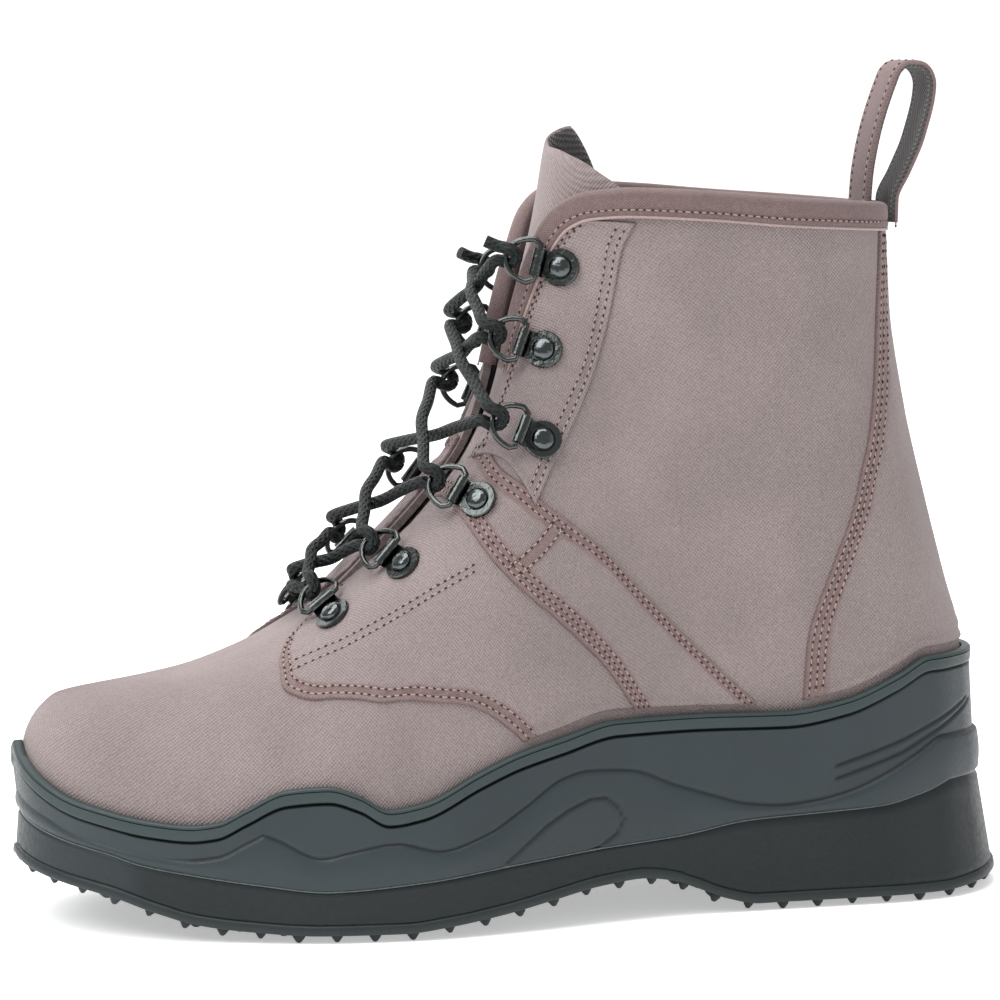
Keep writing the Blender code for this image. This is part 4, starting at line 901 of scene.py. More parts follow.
class Sheet:
    """An overlay: its piece, its outer face and the distances from its four edges."""

    def __init__(self, name, t, v, below, bands, cross=0.0):
        base, normals = surface(t, v), normal(t, v)
        heights = feel(tree_of(below), base, normals)
        drape = np.maximum(soften(heights, 10), heights - 0.0004)
        self.distances = edge_distances(base)
        round_off = 0.9 * CLOTH
        profile = np.ones(base.shape[:2])
        for distance in self.distances:
            k = np.clip(distance / round_off, 0, 1)
            profile = np.minimum(profile, np.sqrt(1 - (1 - k) ** 2))
        near = np.minimum.reduce(self.distances)
        pucker = 0.00014 * np.sin(self.distances[2] / 0.0011) * np.exp(-((near - 0.006) / 0.004) ** 2)
        valley = 0.00040 * np.exp(-((near - 0.0032) / 0.0012) ** 2) + pucker
        band = np.zeros(base.shape[:2])
        for number, width in bands.items():
            band = np.maximum(band, np.clip((width - self.distances[number]) / EDGE_FADE, 0, 1))
        lift = drape + CLOTH * profile - valley
        self.outer = base + normals * lift[..., None]
        under = base + normals * (heights - TUCK)[..., None]
        if cross:
            band = np.maximum(band, np.clip((0.0030 - np.abs(self.distances[2] - cross)) / EDGE_FADE, 0, 1))
        # Painted shadow: a dark line along the sheet's cut edges, where its rounded edge turns into shade
        painted_shade = np.clip(1 - near / 0.0006, 0, 1)
        fields = {"band": np.stack([0.9 * band, 0 * band]), "painted_shade": np.stack([painted_shade, 0 * painted_shade])}
        self.piece = two_faced(name, self.outer, under, [canvas, lining], cloth_uv(t, v), fields=fields)


def between(rows, side, count_r, count_c, height, width):
    """Places (t, v) of an overlay between its front and its rear edge."""
    r = shares(count_r, height)[:, None]
    c = shares(count_c, width)[None, :]
    front_along, front_u, rear_along, rear_u = (course(rows, column)(r) for column in (1, 2, 3, 4))
    s = turn(front_along) + c * (turn(rear_along) - turn(front_along))
    u = front_u + c * (rear_u - front_u)
    t = side * s
    start = rim_v(t)
    return t, start + u * (1 - start)


def facing_place(side):
    r = shares(70, 190)
    c = shares(24, 24)[None, :]
    front_along, rear_along, rear_u = (course(FACING, column)(r) for column in (1, 2, 3))
    front_t, front_v, _, _ = set_in(side * turn(front_along), BINDING_WIDTH + 0.0004)
    rear_t = side * turn(rear_along)
    start = rim_v(rear_t)
    rear_v = start + rear_u * (1 - start)
    t = front_t[:, None] + c * (rear_t - front_t)[:, None]
    v = front_v[:, None] + c * (rear_v - front_v)[:, None]
    return t, v


def backstay_place():
    r = shares(70, 190)[:, None]
    c = shares(44, 60)[None, :]
    edge_s, edge_u = turn(course(BACKSTAY, 1)(r)), course(BACKSTAY, 2)(r)
    t = (2 * c - 1) * edge_s
    start = rim_v(t)
    return t, start + edge_u * (1 - start)


sheets = {}
for label, side in SIDES:
    below = [upper_piece]
    place = between(QUARTER, side, 80, 46, 110, 60)
    quarter = Sheet(f"quarter_{label}_cloth", *place, below, {0: QUARTER_BAND})
    below = below + [quarter.piece]
    place = between(STRAP, side, 60, 24, 100, 40)
    bands = {0: STRAP_FRONT_BAND, 1: STRAP_REAR_BAND}
    strap = Sheet(f"strap_{label}_cloth", *place, below, bands, STRAP_CROSS)
    below = below + [strap.piece]
    facing = Sheet(f"facing_{label}_cloth", *facing_place(side), below, {})
    sheets.update({f"quarter_{label}": quarter, f"strap_{label}": strap, f"facing_{label}": facing})
below = [upper_piece, sheets["strap_lateral"].piece, sheets["strap_medial"].piece]
bands = {0: BACKSTAY_BAND, 1: BACKSTAY_BAND}
sheets["backstay"] = Sheet("backstay_cloth", *backstay_place(), below, bands)
for name, sheet in sheets.items():
    finish_piece(sheet.piece, "canvas", name)

# %% [markdown]
# ## Binding of the edge
#
# Grosgrain tape is folded over the raw edge of the canvas and sewn through both layers. A thin cord
# is caught under its lower edge, which shows as a paler line. The fold is a half circle about the
# middle of the wall.

# %% Collar binding with its cord
BINDING_END = float(turn(0.512))
BINDING_LIFT = 0.0017
FOLD_REACH = 0.0018           # the fold stands this far past the canvas's raw edge
binding_t = np.linspace(-BINDING_END, BINDING_END, 421)


def edge_frames(t):
    """Points of the opening's edge with their inward and normal directions."""
    _, _, inward, face = set_in(t, 0.002)
    return top_edge(t), inward, face


def make_binding():
    point, inward, face = edge_frames(binding_t)
    outside = [(BINDING_WIDTH, 0.2), (0.0064, 0.75), (0.0060, 0.97), (0.0052, 1.0), (0.0042, 0.86),
               (0.0034, 0.95), (0.0024, 1.0), (0.0014, 1.0), (0.0006, 1.0)]
    rows = []
    for depth, share in outside:
        t, v, _, _ = set_in(binding_t, depth)
        rows.append(surface(t, v, BINDING_LIFT * share))
    radius = BINDING_LIFT + WALL / 2
    for angle in np.radians(np.linspace(90, -90, 11)):
        turned = face * (math.sin(angle) * radius - WALL / 2) - inward * math.cos(angle) * FOLD_REACH
        rows.append(point + turned)
    for depth, share in outside[::-1]:
        t, v, _, _ = set_in(binding_t, depth)
        rows.append(surface(t, v, -WALL - BINDING_LIFT * share))
    rows = np.stack(rows)
    height = np.arange(len(rows)) * 0.0009
    uv = np.stack(np.broadcast_arrays(run_along(point)[None, :], height[:, None]), -1)
    deep_rows = []
    near, deep = -0.0003, 0.0003 - WALL
    for depth, lift in ((0.0062, near), (0.0004, near), (0.0004, deep), (0.0062, deep)):
        t, v, _, _ = set_in(binding_t, depth)
        deep_rows.append(surface(t, v, lift))
    ring_rows = np.concatenate([rows, np.stack(deep_rows[::-1])])
    ring_rows = np.concatenate([ring_rows, ring_rows[:1]])
    uv = np.concatenate([uv, np.repeat(uv[-1:], 5, axis=0)])
    count = len(binding_t)
    faces = quads(len(ring_rows), count)
    for column in (0, count - 1):
        faces.append([row * count + column for row in range(len(ring_rows) - 1)])
    return mesh_piece("collar_binding_tape", ring_rows, faces, [tape], uv)


finish_piece(make_binding(), "binding_tape", "collar_binding")

CORD_RADIUS = 0.00055
cord_t, cord_v, _, _ = set_in(binding_t, BINDING_WIDTH + 0.0003)
cord_path = surface(cord_t, cord_v, 0.0011)
welt = join_parts("binding_cord", [sweep(cord_path, CORD_RADIUS, 8)], [thread])
finish_piece(welt, "binding_tape")

# %% [markdown]
# ## Tongue and insole
#
# The tongue is padded canvas with a dark lining, so its edges are soft: the CAD form is kept and
# subdivided. The side towards the inner ankle rises a little higher, as the laces pull it. The insole
# is a flat foam bed with tricot on it, and takes the same way.

# %% Tongue and insole from the CAD forms
TONGUE_LEAN = 0.0095          # how much higher the tongue's inner side stands
LEAN_FROM = 0.200             # height at which the lean begins


def softened(node, name, materials, levels, split, lean=0.0):
    """The node's own mesh, subdivided; split tells which faces take the second material."""
    source = nodes[node]
    mesh = source.data.copy()
    mesh.transform(source.matrix_world)
    mesh.materials.clear()
    bm = bmesh.new()
    bm.from_mesh(mesh)
    bmesh.ops.remove_doubles(bm, verts=bm.verts, dist=1e-5)
    bmesh.ops.dissolve_limit(bm, angle_limit=0.02, verts=bm.verts, edges=bm.edges)
    bmesh.ops.join_triangles(bm, faces=bm.faces, angle_face_threshold=1.2, angle_shape_threshold=1.2)
    bm.to_mesh(mesh)
    bm.free()
    holder = put(name, mesh)
    smooth = holder.modifiers.new("soft", "SUBSURF")
    smooth.levels = smooth.render_levels = levels
    made = applied(holder, smooth)
    points = np.array([v.co for v in made.vertices])
    if lean:
        above = np.clip((points[:, 2] - LEAN_FROM) / 0.030, 0, 1)
        rise = np.clip(np.abs(points[:, 1]) / 0.018, 0, 1) ** 2
        points[:, 2] += lean * np.where(points[:, 1] > 0, 1.0, -0.4) * rise * above
    faces = [list(p.vertices) for p in made.polygons]
    kinds = [split(p) for p in made.polygons]
    uv = np.stack([points[:, 1], 0.8 * points[:, 2] - 0.6 * points[:, 0]], -1)
    return mesh_piece(name, points, faces, materials, uv, kinds)


tongue_piece = softened("tongue", "tongue_pad", [canvas, lining], 2,
                        lambda p: 0 if p.normal.x < -0.15 or p.normal.z > 0.35 else 1, TONGUE_LEAN)
finish_piece(tongue_piece, "canvas", "tongue")
insole_piece = softened("insole", "insole_bed", [lining, lining], 1, lambda p: 0)
finish_piece(insole_piece, "lining", "insole")

# %% [markdown]
# ## Pull loop
#
# A stout tape is folded once and both its ends are sewn to the collar, one inside and one outside.
# Its middle line is drawn in side view and swept to the tape's width, thinner at both selvedges and
# beside the seams.

# %% Pull loop
LOOP_WIDTH, LOOP_THICKNESS, LOOP_RISE = 0.017, 0.0022, 0.046


def loop_path():
    """The middle of the tape in side view, from inside the collar up and over to the backstay."""
    back = top_edge(np.array(-1e-9))
    stack = BINDING_LIFT + 0.0002 + LOOP_THICKNESS / 2
    inner = (back[0] - WALL - stack, back[2])
    outer = (back[0] + stack, back[2])
    foot = (outer[0] + 0.0006, outer[1] - 0.0050)
    radius, lean = 0.0065, 0.0095
    centre = (back[0] + lean, back[2] + LOOP_RISE - LOOP_THICKNESS / 2 - radius)
    arc = [(centre[0] + radius * math.cos(a), centre[1] + radius * math.sin(a))
           for a in np.radians([170, 140, 105, 70, 35, 0])]
    rising = [(inner[0] + dx, inner[1] + dz) for dx, dz in
              ((0.0, -0.0105), (0.0, -0.002), (0.0005, 0.008), (0.0022, 0.019))]
    falling = [(outer[0] + dx, outer[1] + dz) for dx, dz in
               ((0.0095, 0.022), (0.0048, 0.011), (0.0008, 0.0022))]
    path = np.array([*rising, *arc, *falling, foot])
    run = run_along(path)
    even = np.linspace(0, run[-1], 90)
    x = course(list(zip(run, path[:, 0])))(even)
    z = course(list(zip(run, path[:, 1])))(even)
    return np.stack([x, z], 1), even


def loop_out(path):
    """The tape's outward direction in side view."""
    ahead = unit(np.gradient(path, axis=0))
    return np.stack([-ahead[:, 1], ahead[:, 0]], 1)


def make_loop():
    path, run = loop_path()
    out = loop_out(path)
    half, thick = LOOP_WIDTH / 2, LOOP_THICKNESS / 2
    across = [(-half, 0.0), (-half + 0.0002, 0.55), (-half + 0.0008, 0.95), (-half + 0.0016, 1.0),
              (-half + 0.0024, 0.82), (-half + 0.0032, 1.0)]
    across = across + [(0.0, 1.0)] + [(-y, share) for y, share in reversed(across)]

    def face(sign):
        grid = np.empty((len(path), len(across), 3))
        for column, (y, share) in enumerate(across):
            move = path + sign * out * thick * max(share, 0.25)
            grid[:, column] = np.stack([move[:, 0], np.full(len(path), y), move[:, 1]], 1)
        return grid

    uv = np.stack(np.broadcast_arrays(np.array([y for y, _ in across])[None, :], run[:, None]), -1)
    return two_faced("pull_loop_tape", face(1), face(-1), [tape, lining], uv)


finish_piece(make_loop(), "binding_tape", "pull_loop")

# %% [markdown]
# ## Midsole
#
# The midsole is moulded foam. Its side carries cut lines that catch the light: a long wave, a leaf in
# the arch and two lines that rise to the heel. Each line is a groove, measured on the wall in length
# and height, and the groove is also painted a little darker, as painted shade. The rim above has its
# own, paler band.

# %% Midsole wall with its lines
RIM_WIDTH, RIM_BAND, RIM_GROOVE = 0.0032, 0.0046, 0.0009
GAP = 0.0003
WAVE_FADE = -0.232            # ahead of this x the wave is gone
LINES = (                     # points x, z in mm: two lines at the heel and the leaf in the arch
    ((-21, 40), (-11, 43), (1, 47), (14, 53), (30, 60)),
    ((-21, 44), (-11, 47), (1, 51), (14, 56), (28, 61)),
    ((-131, 21.5), (-125, 26.5), (-118, 32), (-111, 36), (-103, 39), (-98, 39), (-94, 36), (-92, 32),
     (-94, 28), (-100, 24), (-108, 21)),
)
# Foam of the rim: the same skin in a slightly paler, greener colour
rim_foam = moulded("moulded_rim_foam", "#323C3D", "#0C0F10", 0.6, 0.0011, 0.00006)


def rim_outer(t, inset, z):
    point = shell(t, rim_v(t))
    plan = point[..., :2] + outward(t) * (RIM_WIDTH + GAP - inset)[..., None]
    return np.concatenate([plan, z[..., None]], -1)


def groove(distance, half_width, depth):
    return depth * np.exp(-((distance / half_width) ** 2))


def line_distance(x, z, points):
    best = np.full(x.shape, 9.0)
    for (x1, z1), (x2, z2) in zip(points, points[1:]):
        dx, dz = x2 - x1, z2 - z1
        k = np.clip(((x - x1) * dx + (z - z1) * dz) / (dx * dx + dz * dz), 0, 1)
        best = np.minimum(best, np.hypot(x - x1 - k * dx, z - z1 - k * dz))
    return best


def make_midsole():
    columns = 841
    t = np.linspace(-1, 1, columns)[None, :]
    s = np.abs(t)
    zero = np.zeros((1, columns))
    low = sole_edge(t, FEATHER_INSET * split_inset(s), split_z(t) + GAP / 2)[0]
    high = rim_outer(t, zero, rim_z(t))[0]
    top = rim_z(t)[0] - RIM_BAND - RIM_GROOVE
    k = np.linspace(0, 1, 92)[:, None]
    height = low[None, :, 2] + k * (top - low[:, 2])[None]
    share = (height - low[None, :, 2]) / (high[:, 2] - low[:, 2])[None]
    wall = low[None] + share[..., None] * (high - low)[None]
    wave = np.clip(SOLE_HEIGHT * wave_share(s), split_z(t) + 0.0032, top[None] - 0.0048)
    away = height - wave
    heelward = np.clip((wall[..., 0] + 0.030) / 0.030, 0, 1)
    begins = np.clip((wall[..., 0] - WAVE_FADE) / 0.010, 0, 1)
    step = (0.00012 + 0.0005 * heelward) * begins * np.tanh(-away / 0.0004)
    above = height - low[None, :, 2]
    bulge = 0.0006 * np.sin(np.pi * np.clip(above / np.maximum(wave - low[None, :, 2], 1e-4), 0, 1))
    lines = np.min([line_distance(wall[..., 0] / MM, height / MM, line) for line in LINES], axis=0) * MM
    cuts = begins * groove(away, 0.0006, 0.0005) + groove(lines, 0.0006, 0.0006)
    wall[..., :2] += outward(t) * (step + bulge - cuts)[..., None]
    # Painted shade along the grooves of the wave and the lines
    shade = begins * groove(away, 0.0005, 0.75) + groove(lines, 0.0005, 0.7)
    lip = np.clip(1 - above / 0.0007, 0, 1)
    wall[..., :2] -= outward(t) * (0.0004 * lip ** 2)[..., None]
    rows, shades, kinds = [wall], [shade], [0] * 91
    # Rows of the rim; the third value is painted shade, dark in the groove below the rim band and along its
    # edges
    edge = [(0.0011, -RIM_BAND - 0.5 * RIM_GROOVE, 1.0, 0), (0.0009, -RIM_BAND - 0.1 * RIM_GROOVE, 0.8, 0),
            (0.0001, -RIM_BAND + 0.3 * RIM_GROOVE, 0.0, 1), (0.0, -RIM_BAND + 0.8 * RIM_GROOVE, 0.0, 1),
            (0.0, -0.0028, 0.0, 1), (0.0, -0.0013, 0.0, 1), (0.0004, -0.0011, 0.6, 1),
            (0.0, -0.0009, 0.0, 1), (0.00005, -0.0004, 0.0, 1), (0.0005, 0.0, 0.0, 1),
            (RIM_WIDTH - 0.0004, 0.0, 0.0, 1),
            (RIM_WIDTH - 0.0001, -0.0006, 0.3, 1)]
    for inset, drop, dark, kind in edge:
        rows.append(rim_outer(t, zero + inset, rim_z(t) + drop))
        shades.append(zero + dark)
        kinds.append(kind)
    for share in (0.4, 0.75, 1.0):
        cup = shell(t, rim_v(t) * (1 - share))
        cup[..., :2] += outward(t) * (GAP + 0.0008)
        if share == 1.0:
            cup[..., 2] = bed_z(t)
        rows.append(cup)
        shades.append(zero)
        kinds.append(0)
    grid = np.concatenate(rows)
    shades = np.concatenate(shades)
    faces = quads(len(grid), columns) + lids(len(grid), columns)
    index = np.repeat(kinds, columns - 1).tolist()
    index += [0] * (len(faces) - len(index))
    uv = grid[..., [0, 2]]
    fields = {"painted_shade": shades}
    return mesh_piece("midsole_foam", grid, faces, [foam, rim_foam], uv, index, fields, sharp=60)


finish_piece(make_midsole(), "midsole_foam", "midsole")

# %% [markdown]
# ## Outsole
#
# The rubber outsole flares at the heel and ends below in a paler strip, which is the tread layer. It
# is one grid: each row runs round the whole sole, and a row's inset and height come from the same
# curves as the CAD's.

# %% Outsole wall
STRIP_HEIGHT, STRIP_STEP = 0.0032, 0.0007


def make_outsole():
    columns = 661
    t = np.linspace(-1, 1, columns)[None, :]
    s = np.abs(t)
    zero = np.zeros((1, columns))
    low, high = tread_z(t), split_z(t) - GAP / 2
    strip = STRIP_HEIGHT / (high - low)
    inset_full = FEATHER_INSET * split_inset(s)
    rows, pale = [], []
    for inset, share, shade in ((0.0040, 0.0, 1), (0.0012, 0.0, 1), (0.0005, 0.05, 1), (0.0001, 0.2, 1),
                                (0.0, 0.45, 1), (0.0, 0.8, 1), (0.0002, 0.93, 1), (0.0009, 1.0, 0.4),
                                (0.0007, 1.08, 0)):
        rows.append(sole_edge(t, inset_full * strip * share + inset, low + strip * share * (high - low)))
        pale.append(zero + shade)
    for k in np.linspace(0.0, 1.0, 15)[1:]:
        share = 1.08 * strip + k * (1 - 1.08 * strip)
        lip = 0.0006 * max(0, (k - 0.93) / 0.07)
        inset = inset_full * share + STRIP_STEP * (1 - k) + lip
        rows.append(sole_edge(t, inset, low + share * (high - low)))
        pale.append(zero)
    grid, pale = np.concatenate(rows), np.concatenate(pale)
    faces = quads(len(grid), columns) + lids(len(grid), columns)
    return mesh_piece("outsole_rubber", grid, faces, [rubber], grid[..., [0, 1]], None, {"strip": pale})


finish_piece(make_outsole(), "outsole_rubber", "outsole")

# %% [markdown]
# ## Along a line: studs, stitches and holes
#
# One Geometry Nodes tree sets copies of a small object along lines: it cuts the line into equal
# steps, turns each copy along the line, makes the copies real and gives them their material. Studs,
# stitches and needle holes all use it, each with its own pitch.

# %% The tree that follows a line
SMALLEST, LARGEST = 0.88, 1.1  # each copy's size is drawn between these


def follow_tree():
    tree = bpy.data.node_groups.new("set_along_a_line", "GeometryNodeTree")
    sockets = {}
    for name, kind in (("Geometry", "NodeSocketGeometry"), ("Item", "NodeSocketObject"),
                       ("Pitch", "NodeSocketFloat"), ("Shift", "NodeSocketVector"),
                       ("Material", "NodeSocketMaterial")):
        sockets[name] = tree.interface.new_socket(name, in_out="INPUT", socket_type=kind).identifier
    tree.interface.new_socket("Geometry", in_out="OUTPUT", socket_type="NodeSocketGeometry")
    given = tree.nodes.new("NodeGroupInput")
    result = tree.nodes.new("NodeGroupOutput")
    item = add(tree, "GeometryNodeObjectInfo", {"Object": given.outputs["Item"]})
    curve = add(tree, "GeometryNodeMeshToCurve", {"Mesh": given.outputs["Geometry"]})
    cut = add(tree, "GeometryNodeResampleCurve", {
        "Curve": curve.outputs[0], "Length": given.outputs["Pitch"]}, mode="LENGTH")
    tangent = add(tree, "GeometryNodeInputTangent")
    turned = add(tree, "FunctionNodeAlignRotationToVector", {"Vector": tangent.outputs[0]}, axis="X")
    size = add(tree, "FunctionNodeRandomValue", {2: SMALLEST, 3: LARGEST, "Seed": 7}, data_type="FLOAT")
    placed = add(tree, "GeometryNodeInstanceOnPoints", {
        "Points": cut.outputs[0], "Instance": item.outputs["Geometry"], "Rotation": turned.outputs[0],
        "Scale": size.outputs[1]})
    moved = add(tree, "GeometryNodeTranslateInstances", {
        "Instances": placed.outputs[0], "Translation": given.outputs["Shift"], "Local Space": True})
    real = add(tree, "GeometryNodeRealizeInstances", {"Geometry": moved.outputs[0]})
    coloured = add(tree, "GeometryNodeSetMaterial", {
        "Geometry": real.outputs[0], "Material": given.outputs["Material"]})
    tree.links.new(coloured.outputs[0], result.inputs[0])
    return tree, sockets


line_tree, line_sockets = follow_tree()


def set_along(name, lines, item, pitch, material, shift=(0, 0, 0)):
    """Copies of item along each line of points, as one plain mesh."""
    points = np.concatenate([np.asarray(line) for line in lines])
    edges, base = [], 0
    for line in lines:
        edges += [(base + i, base + i + 1) for i in range(len(line) - 1)]
        base += len(line)
    mesh = bpy.data.meshes.new(name + "_line")
    mesh.from_pydata(points.tolist(), edges, [])
    holder = put(name + "_line", mesh)
    modifier = holder.modifiers.new("along", "NODES")
    modifier.node_group = line_tree
    values = (("Item", item), ("Pitch", pitch), ("Shift", shift), ("Material", material))
    for socket, value in values:
        modifier[line_sockets[socket]] = value
    made = applied(holder, modifier)
    made.name = name
    made.shade_smooth()
    return put(name, made)


def small_form(name, rings):
    """A little closed form of six sides from (x, radius in y, radius in z)."""
    points, faces = [], []
    for x, wide, high in rings:
        points += [(x, wide * math.cos(a), high * math.sin(a)) for a in np.linspace(0, 2 * np.pi, 7)[:-1]]
    for ring in range(len(rings) - 1):
        faces += [[ring * 6 + i, ring * 6 + (i + 1) % 6, ring * 6 + 6 + (i + 1) % 6, ring * 6 + 6 + i]
                  for i in range(6)]
    faces.append(list(range(6))[::-1])
    faces.append([(len(rings) - 1) * 6 + i for i in range(6)])
    mesh = bpy.data.meshes.new(name)
    mesh.from_pydata(points, [], faces)
    return bpy.data.objects.new(name, mesh)


STITCH_PITCH = 0.0024
stitch_form = small_form("stitch_form", [(-0.0008, 0.00012, 0.0001), (-0.0006, 0.00028, 0.00025),
                                         (0.0006, 0.00028, 0.00025), (0.0008, 0.00012, 0.0001)])
hole_form = small_form("hole_form", [(-0.0005, 0.00018, 0.00014), (-0.00025, 0.00038, 0.00027),
                                     (0.00025, 0.00038, 0.00027), (0.0005, 0.00018, 0.00014)])
print("a stitch every", round(STITCH_PITCH / MM, 1), "mm")

# %% [markdown]
# ## Seams
#
# A lockstitch runs beside each cut edge, in two or three rows. Each overlay knows how far each of its
# points lies from its four edges, so a seam is the line of equal distance from one of them. Where the
# next overlay covers a seam, that stretch is left out.

# %% Seams of the overlays
SEAM_TRIM = 0.002             # a seam stops this far from the sheet's other edges
FACING_SEAMS, QUARTER_SEAMS = (0.0020, 0.0044), (0.0022, 0.0048)
STRAP_FRONT_SEAMS, STRAP_REAR_SEAMS = (0.0018, 0.0036, 0.0054), (0.0018, 0.0040)
BACKSTAY_SEAMS = (0.0018, 0.0040, 0.0062)
CROSS_SEAMS = (STRAP_CROSS - 0.0018, STRAP_CROSS + 0.0018)
LOOP_SEAM = 0.0061            # from the loop's middle


def seam(sheet, edge, distance):
    """A line on a sheet, at a distance from one of its edges: 0 front, 1 rear, 2 upper, 3 lower."""
    grid, field = sheet.outer, sheet.distances[edge]
    ends = [sheet.distances[number] for number in ((2, 3) if edge < 2 else (0, 1))]
    if edge >= 2:
        grid, field, ends = grid.transpose(1, 0, 2), field.T, [end.T for end in ends]
    line = []
    for row in range(len(grid)):
        way = 1 if field[row][0] < field[row][-1] else -1
        run, points = field[row][::way], grid[row][::way]
        if min(np.interp(distance, run, end[row][::way]) for end in ends) < SEAM_TRIM:
            continue
        line.append([np.interp(distance, run, points[:, axis]) for axis in range(3)])
    return np.array(line)


def visible_part(line, covers):
    """Drops the stretch of a seam that lies under another sheet."""
    tree = tree_of(covers)
    parts, part = [], []
    for point in line:
        near, facing, _, _ = tree.find_nearest(Vector(point), 0.0045)
        hidden = near is not None and np.dot(np.array(facing), np.array(point) - np.array(near)) < 0.0001
        if hidden:
            if len(part) > 2:
                parts.append(np.array(part))
            part = []
        else:
            part.append(point)
    if len(part) > 2:
        parts.append(np.array(part))
    return parts


# A seam beside the rings: x, z in mm, as seen from the side
EYESTAY = ((-191, 80), (-176, 87), (-160, 96.5), (-148, 104), (-138, 109.5))


def seen_line(sheet, places, drop, side):
    """A seam that is straight when seen from the side, dropped by some metres, as it lies on a sheet."""
    tree = tree_of([sheet.piece])
    places = np.array(places) * MM
    x = np.linspace(places[0, 0], places[-1, 0], 60)
    z = np.interp(x, places[:, 0], places[:, 1]) - drop
    hits = [tree.ray_cast(Vector((a, side * 0.2, b)), Vector((0, -side, 0)), 0.3)[0] for a, b in zip(x, z)]
    return np.array([hit for hit in hits if hit is not None])


seam_lines = []
for label, side in SIDES:
    quarter, strap, facing = (sheets[f"{kind}_{label}"] for kind in ("quarter", "strap", "facing"))
    for distance in QUARTER_SEAMS:
        seam_lines += visible_part(seam(quarter, 0, distance), [strap.piece, facing.piece])
        seam_lines.append(seam(facing, 1, distance))
    for distance in STRAP_FRONT_SEAMS:
        seam_lines += visible_part(seam(strap, 0, distance), [facing.piece])
    for distance in STRAP_REAR_SEAMS:
        seam_lines += visible_part(seam(strap, 1, distance), [facing.piece, sheets["backstay"].piece])
    for distance in CROSS_SEAMS:
        seam_lines += visible_part(seam(strap, 2, distance), [facing.piece])
    for drop in (0.0, 0.0020):
        seam_lines.append(seen_line(quarter, EYESTAY, drop, side))
    seam_lines += [seam(facing, 0, distance) for distance in FACING_SEAMS]
for edge in (0, 1):
    seam_lines += [seam(sheets["backstay"], edge, distance) for distance in BACKSTAY_SEAMS]
collar_t, collar_v, _, _ = set_in(binding_t, 0.0046)
seam_lines.append(surface(collar_t, collar_v, BINDING_LIFT * 0.93))
path, _ = loop_path()
for y in (-LOOP_SEAM, LOOP_SEAM):
    rise = np.array([(x, y, z) for x, z in path])
    rise[:, [0, 2]] += loop_out(path) * LOOP_THICKNESS * 0.45
    seam_lines.append(rise)

stitches = set_along("stitches", seam_lines, stitch_form, STITCH_PITCH, thread)
finish_piece(stitches, "binding_tape")
holes = set_along("needle_holes", seam_lines, hole_form, STITCH_PITCH, hole, (STITCH_PITCH / 2, 0, 0))
finish_piece(holes, "binding_tape")

# %% [markdown]
# ## Studs of the tread
#
# The grip of this boot is blunt rubber cones, moulded with the tread. A close row of small ones
# follows the edge, which is all that the side view shows, and wider rows stand across the sole. The
# largest draw of a cone's size still ends on the floor. A thin bead of cement fills the joint between
# rubber and foam, and its pale colour is a painted highlight along the joint.

# %% Tread studs and cones
EDGE_CONE, TREAD_CONE = 0.0020, 0.0030       # radii
EDGE_PITCH, TREAD_PITCH = 0.0113, 0.0125
EDGE_MARGIN, TREAD_MARGIN = 0.0026, 0.012    # from the tread's edge
CONE_HEIGHT = 0.9 * STUD_HEIGHT              # times LARGEST this is just under the studs' full height


def cone_form(name, radius, height):
    """A blunt cone that points down, of eight sides."""
    points, faces = [], []
    for share, high in ((1.0, 0.0012), (0.86, -0.25 * height), (0.42, -0.85 * height), (0.25, -height)):
        points += [(radius * share * math.cos(a), radius * share * math.sin(a), high)
                   for a in np.linspace(0, 2 * np.pi, 9)[:-1]]
    for ring in range(3):
        faces += [[ring * 8 + i, ring * 8 + 8 + i, ring * 8 + 8 + (i + 1) % 8, ring * 8 + (i + 1) % 8]
                  for i in range(8)]
    faces.append(list(range(8)))
    faces.append([24 + i for i in range(8)][::-1])
    mesh = bpy.data.meshes.new(name)
    mesh.from_pydata(points, [], faces)
    return bpy.data.objects.new(name, mesh)


def tread_points():
    """Studs in rows under the sole, as short lines across it."""
    lines = []
    for x in np.arange(HEEL_BACK - 0.016, HEEL_BACK - SOLE_LENGTH + 0.014, -TREAD_PITCH):
        s = float(turn((HEEL_BACK - x) / SOLE_LENGTH))
        low = float(outline(np.array(-s))[1]) + TREAD_MARGIN
        high = float(outline(np.array(s))[1]) - TREAD_MARGIN
        if high - low < TREAD_MARGIN:
            continue
        y = np.linspace(low, high, 12)
        lines.append(np.stack([np.full(12, x), y, np.full(12, float(tread_z(np.array(s))))], 1))
    return lines


edge_t = np.linspace(-0.999, 0.999, 400)
edge_line = sole_edge(edge_t, np.full(edge_t.shape, EDGE_MARGIN), tread_z(edge_t))
edge_cone = cone_form("edge_cone", EDGE_CONE, CONE_HEIGHT)
edge_studs = set_along("edge_studs", [edge_line], edge_cone, EDGE_PITCH, rubber)
stud_cone = cone_form("stud_cone", TREAD_CONE, CONE_HEIGHT)
inner_studs = set_along("tread_studs", tread_points(), stud_cone, TREAD_PITCH, rubber)
for piece in (edge_studs, inner_studs):
    finish_piece(piece, "outsole_rubber")
joint_t = np.linspace(-1, 1, 600)
cement_line = sole_edge(joint_t, FEATHER_INSET * split_inset(np.abs(joint_t)) + 0.0003, split_z(joint_t))
bead = join_parts("cement_bead", [sweep(cement_line, 0.00035, 6)], [joint_cement_highlight])
finish_piece(bead, "midsole_foam")

# %% [markdown]
# ## Lace hardware
#
# Each of the twelve fittings is a round plate with a domed rivet, and a strip that is rolled into a
# barrel. A wire D hangs in the barrel. They are plated steel, so almost all that they show is the
# room around them.

